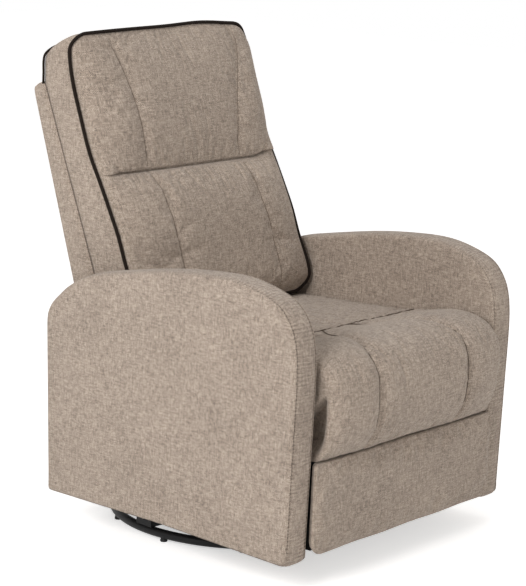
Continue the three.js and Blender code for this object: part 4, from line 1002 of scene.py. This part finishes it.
# Outside back and apron
def outside_back():
    half, corner, width = 279, 16, 84
    across = [(half, s) for s in np.linspace(0, 1 - corner / width, 9)[:-1]]
    across += [(half - corner * (1 - math.cos(t)), 1 - corner / width + corner / width * math.sin(t))
               for t in np.linspace(0, np.pi / 2, 8)]
    across += [(x, 1) for x in np.linspace(half - corner, 0, 24)[1:]]
    x, deep = np.array(across + [(-x, d) for x, d in across[-2::-1]]).T
    # Its rim dips under the edge of the boxing
    x = np.sign(x) * (np.abs(x) - 4.4 * (1 - smoothstep(deep, -0.04, 0.13)) * (np.abs(x) > half - 1))
    deep = deep - 0.06 * (deep == 0)
    rings = []
    for s in np.linspace(0, 1, 44):
        front, behind = lerp(RIDGE_FOOT, RIDGE_TOP, s), lerp(SHELL_FOOT, SHELL_TOP, s)
        y, z = (front + (behind - front) * deep[:, None]).T
        crown = 5 * (1 - (x / half) ** 2) * math.sin(math.pi * min(1, 0.08 + 0.9 * s)) ** 0.6 * (deep > 0.99)
        rings.append(np.column_stack([x, y + crown, z]))
    # Its top runs forward to the ridge
    for share in (0.1, 0.3, 0.55, 0.8, 1.0):
        y, z = (RIDGE_TOP + (SHELL_TOP - RIDGE_TOP) * (deep * (1 - share))[:, None]).T
        rings.append(np.column_stack([x, y, z + 2.0 * math.sin(math.pi * share)]))
    grid = np.array(rings)
    obj = mesh_object("outside_back_cover", grid.reshape(-1, 3), grid_faces(*grid.shape[:2]), cover)
    outward(obj)
    thick = obj.modifiers.new("wall", "SOLIDIFY")
    thick.thickness = 0.0045
    thick.offset = -1
    applied(obj)
    smooth(obj, 50)
    finer(obj)
    dressed(obj, "back", "cover_fabric", "outside_back_panel")


def rear_apron():
    """A padded board with rounded edges and a crowned rear face."""
    radius, crown = 6, 3
    low, high = (np.array(c) * 1000 - (0, SHIFT * 1000, 0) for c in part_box("rear_apron"))
    middle, half = (low + high) / 2, (high - low) / 2
    shape = bmesh.new()
    bmesh.ops.create_cube(shape, size=2)
    bmesh.ops.subdivide_edges(shape, edges=shape.edges, cuts=23, use_grid_fill=True)
    points = crowded(np.array([v.co for v in shape.verts]), 1.5) * half
    faces = [[v.index for v in f.verts] for f in shape.faces]
    shape.free()
    core = np.clip(points, -(half - radius), half - radius)
    off = points - core
    length = np.linalg.norm(off, axis=1)
    points = core + off * np.where(length > 1e-6, radius / np.maximum(length, 1e-6), 0)[:, None]
    flat = fade(points[:, 0] / half[0], 2) * fade(points[:, 2] / half[2], 2)
    points[:, 1] += np.where(points[:, 1] > 0, crown * flat, 0)
    dressed(solid("rear_apron_cover", points + middle, faces, cover), "carriage", "cover_fabric", "rear_apron")


# Base and glides
RING_RADIUS, RING_TUBE, RING_Y, RING_Z = 276.5, 9.5, 410, 15.5
RING_GLIDES, FIRST_GLIDE = 10, math.radians(5)
# Radius and height up each turned glide
BASE_GLIDE = [(6.8, 0), (7.8, 1.0), (7.8, 3.6), (6.9, 5.4), (6.4, 9), (6.4, 12)]
ARM_GLIDE = [(7, -4.2), (9, -3.4), (9.2, -2.0), (8, -0.6), (4, 0.8)]


def glide(name, profile, centre, body):
    sides = 28
    points = np.concatenate([circle(radius, sides, z) for radius, z in profile]) + centre
    dressed(solid(name, points, ring_faces(len(profile), sides), plastic, 40), body, "black_steel")


def ring_base():
    path = circle(RING_RADIUS, 160, RING_Z) + (0, RING_Y, 0)
    ring = tube("base_ring", path, RING_TUBE, black, 20, closed=True)
    dressed(ring, "base", "black_steel", "ring_base")
    for i in range(RING_GLIDES):
        angle = 2 * math.pi * i / RING_GLIDES + FIRST_GLIDE
        place = (RING_RADIUS * math.cos(angle), RING_Y + RING_RADIUS * math.sin(angle), 0)
        glide(f"base_glide_{i + 1}", BASE_GLIDE, place, "base")


def arm_glides():
    for side, sign in SIDES.items():
        for end, y in (("front", 22), ("rear", 610)):
            glide(f"{side}_{end}_arm_glide", ARM_GLIDE, (sign * (ARM_OUTER + ARM_INNER) / 2, y, 71.0), "carriage")


# The chair
seat()
back_cushion()
footrest()
for name, sign in SIDES.items():
    arm(name, sign)
cord = tube("front_welt", piping_path(front_edge, 0.0), 3.6, piping_cloth, 12)
dressed(cord, "back", "piping", "front_back_piping")
cord = tube("rear_welt", piping_path(rear_edge, 0.84, 5.0), 2.6, piping_cloth, 12)
dressed(cord, "back", "piping", "rear_back_piping")
outside_back()
rear_apron()
ring_base()
arm_glides()

STEEL = ("cross_bars", "glider_base_frame", "carriage_frame", "hanger_plate", "side_plate", "bracket", "glide_link",
         "drive_link", "cross_link", "panel_link", "guide_link")
WOOD = ("front_rail", "arm_frame", "seat_frame", "back_frame")
ZINC = ("swivel_plate", "ball_race", "kingpin", "glide_shaft", "swing_link", "seat_spring")
# The footrest board's rear is faced with black cloth
FACINGS = ((lining, ("footrest_board",)), (black, STEEL), (zinc, ZINC), (plywood, WOOD))
for name, node in nodes.items():
    if node.hide_render:
        continue
    chosen = next((facing for facing, words in FACINGS if any(word in name for word in words)), webbing_cloth)
    node.data.materials.clear()
    node.data.materials.append(chosen)
    smooth(node, 35)


# Floor and light
def studio():
    floor = mesh_object("floor", np.array([(-9, -9, 0), (9, -9, 0), (9, 9, 0), (-9, 9, 0)], float),
                        [(0, 1, 2, 3)], frame_units=True)
    n = Nodes("floor")
    n.surface(n.ramp(n.noise(n.place()[0], 3.0), (0.4, (0.93, 0.93, 0.93)), (0.6, (0.95, 0.95, 0.95))), 0.9, 0.1)
    n.shader.inputs["Emission Color"].default_value = (1, 1, 1, 1)
    n.link(n.times(n.seen(), 0.54), n.shader.inputs["Emission Strength"])
    floor.data.materials.append(n.owner)
    n = Nodes("studio", bpy.data.worlds)
    bpy.context.scene.world = n.owner
    light = n.tree.nodes["Background"]
    light.inputs[0].default_value = (1.0, 0.982, 0.955, 1)
    light.inputs[1].default_value = 0.51
    white = n.add("ShaderNodeBackground", (1, 1, 1, 1))
    blend = n.add("ShaderNodeMixShader", n.seen(), light.outputs[0], white.outputs[0])
    n.link(blend.outputs[0], n.tree.nodes["World Output"].inputs[0])
    for name, place, size, power, color in (
        ("key", (-3.6, -0.4, 2.3), 2.0, 101, (1, 0.99, 0.975)),
        ("front", (0.9, -3.6, 1.6), 2.2, 25, (1, 0.955, 0.9)),
        ("top", (0.2, 0.3, 3.4), 2.4, 15, (1, 1, 1)),
    ):
        data = bpy.data.lights.new(name, "AREA")
        data.shape = "DISK"
        data.size = size
        data.energy = power
        data.color = color
        lamp = added(name, data)
        lamp.location = place
        lamp.rotation_euler = (Vector((0, 0, 0.5)) - Vector(place)).to_track_quat("-Z", "Y").to_euler()


studio()
bpy.context.scene.view_settings.view_transform = "Standard"
bpy.context.view_layer.update()
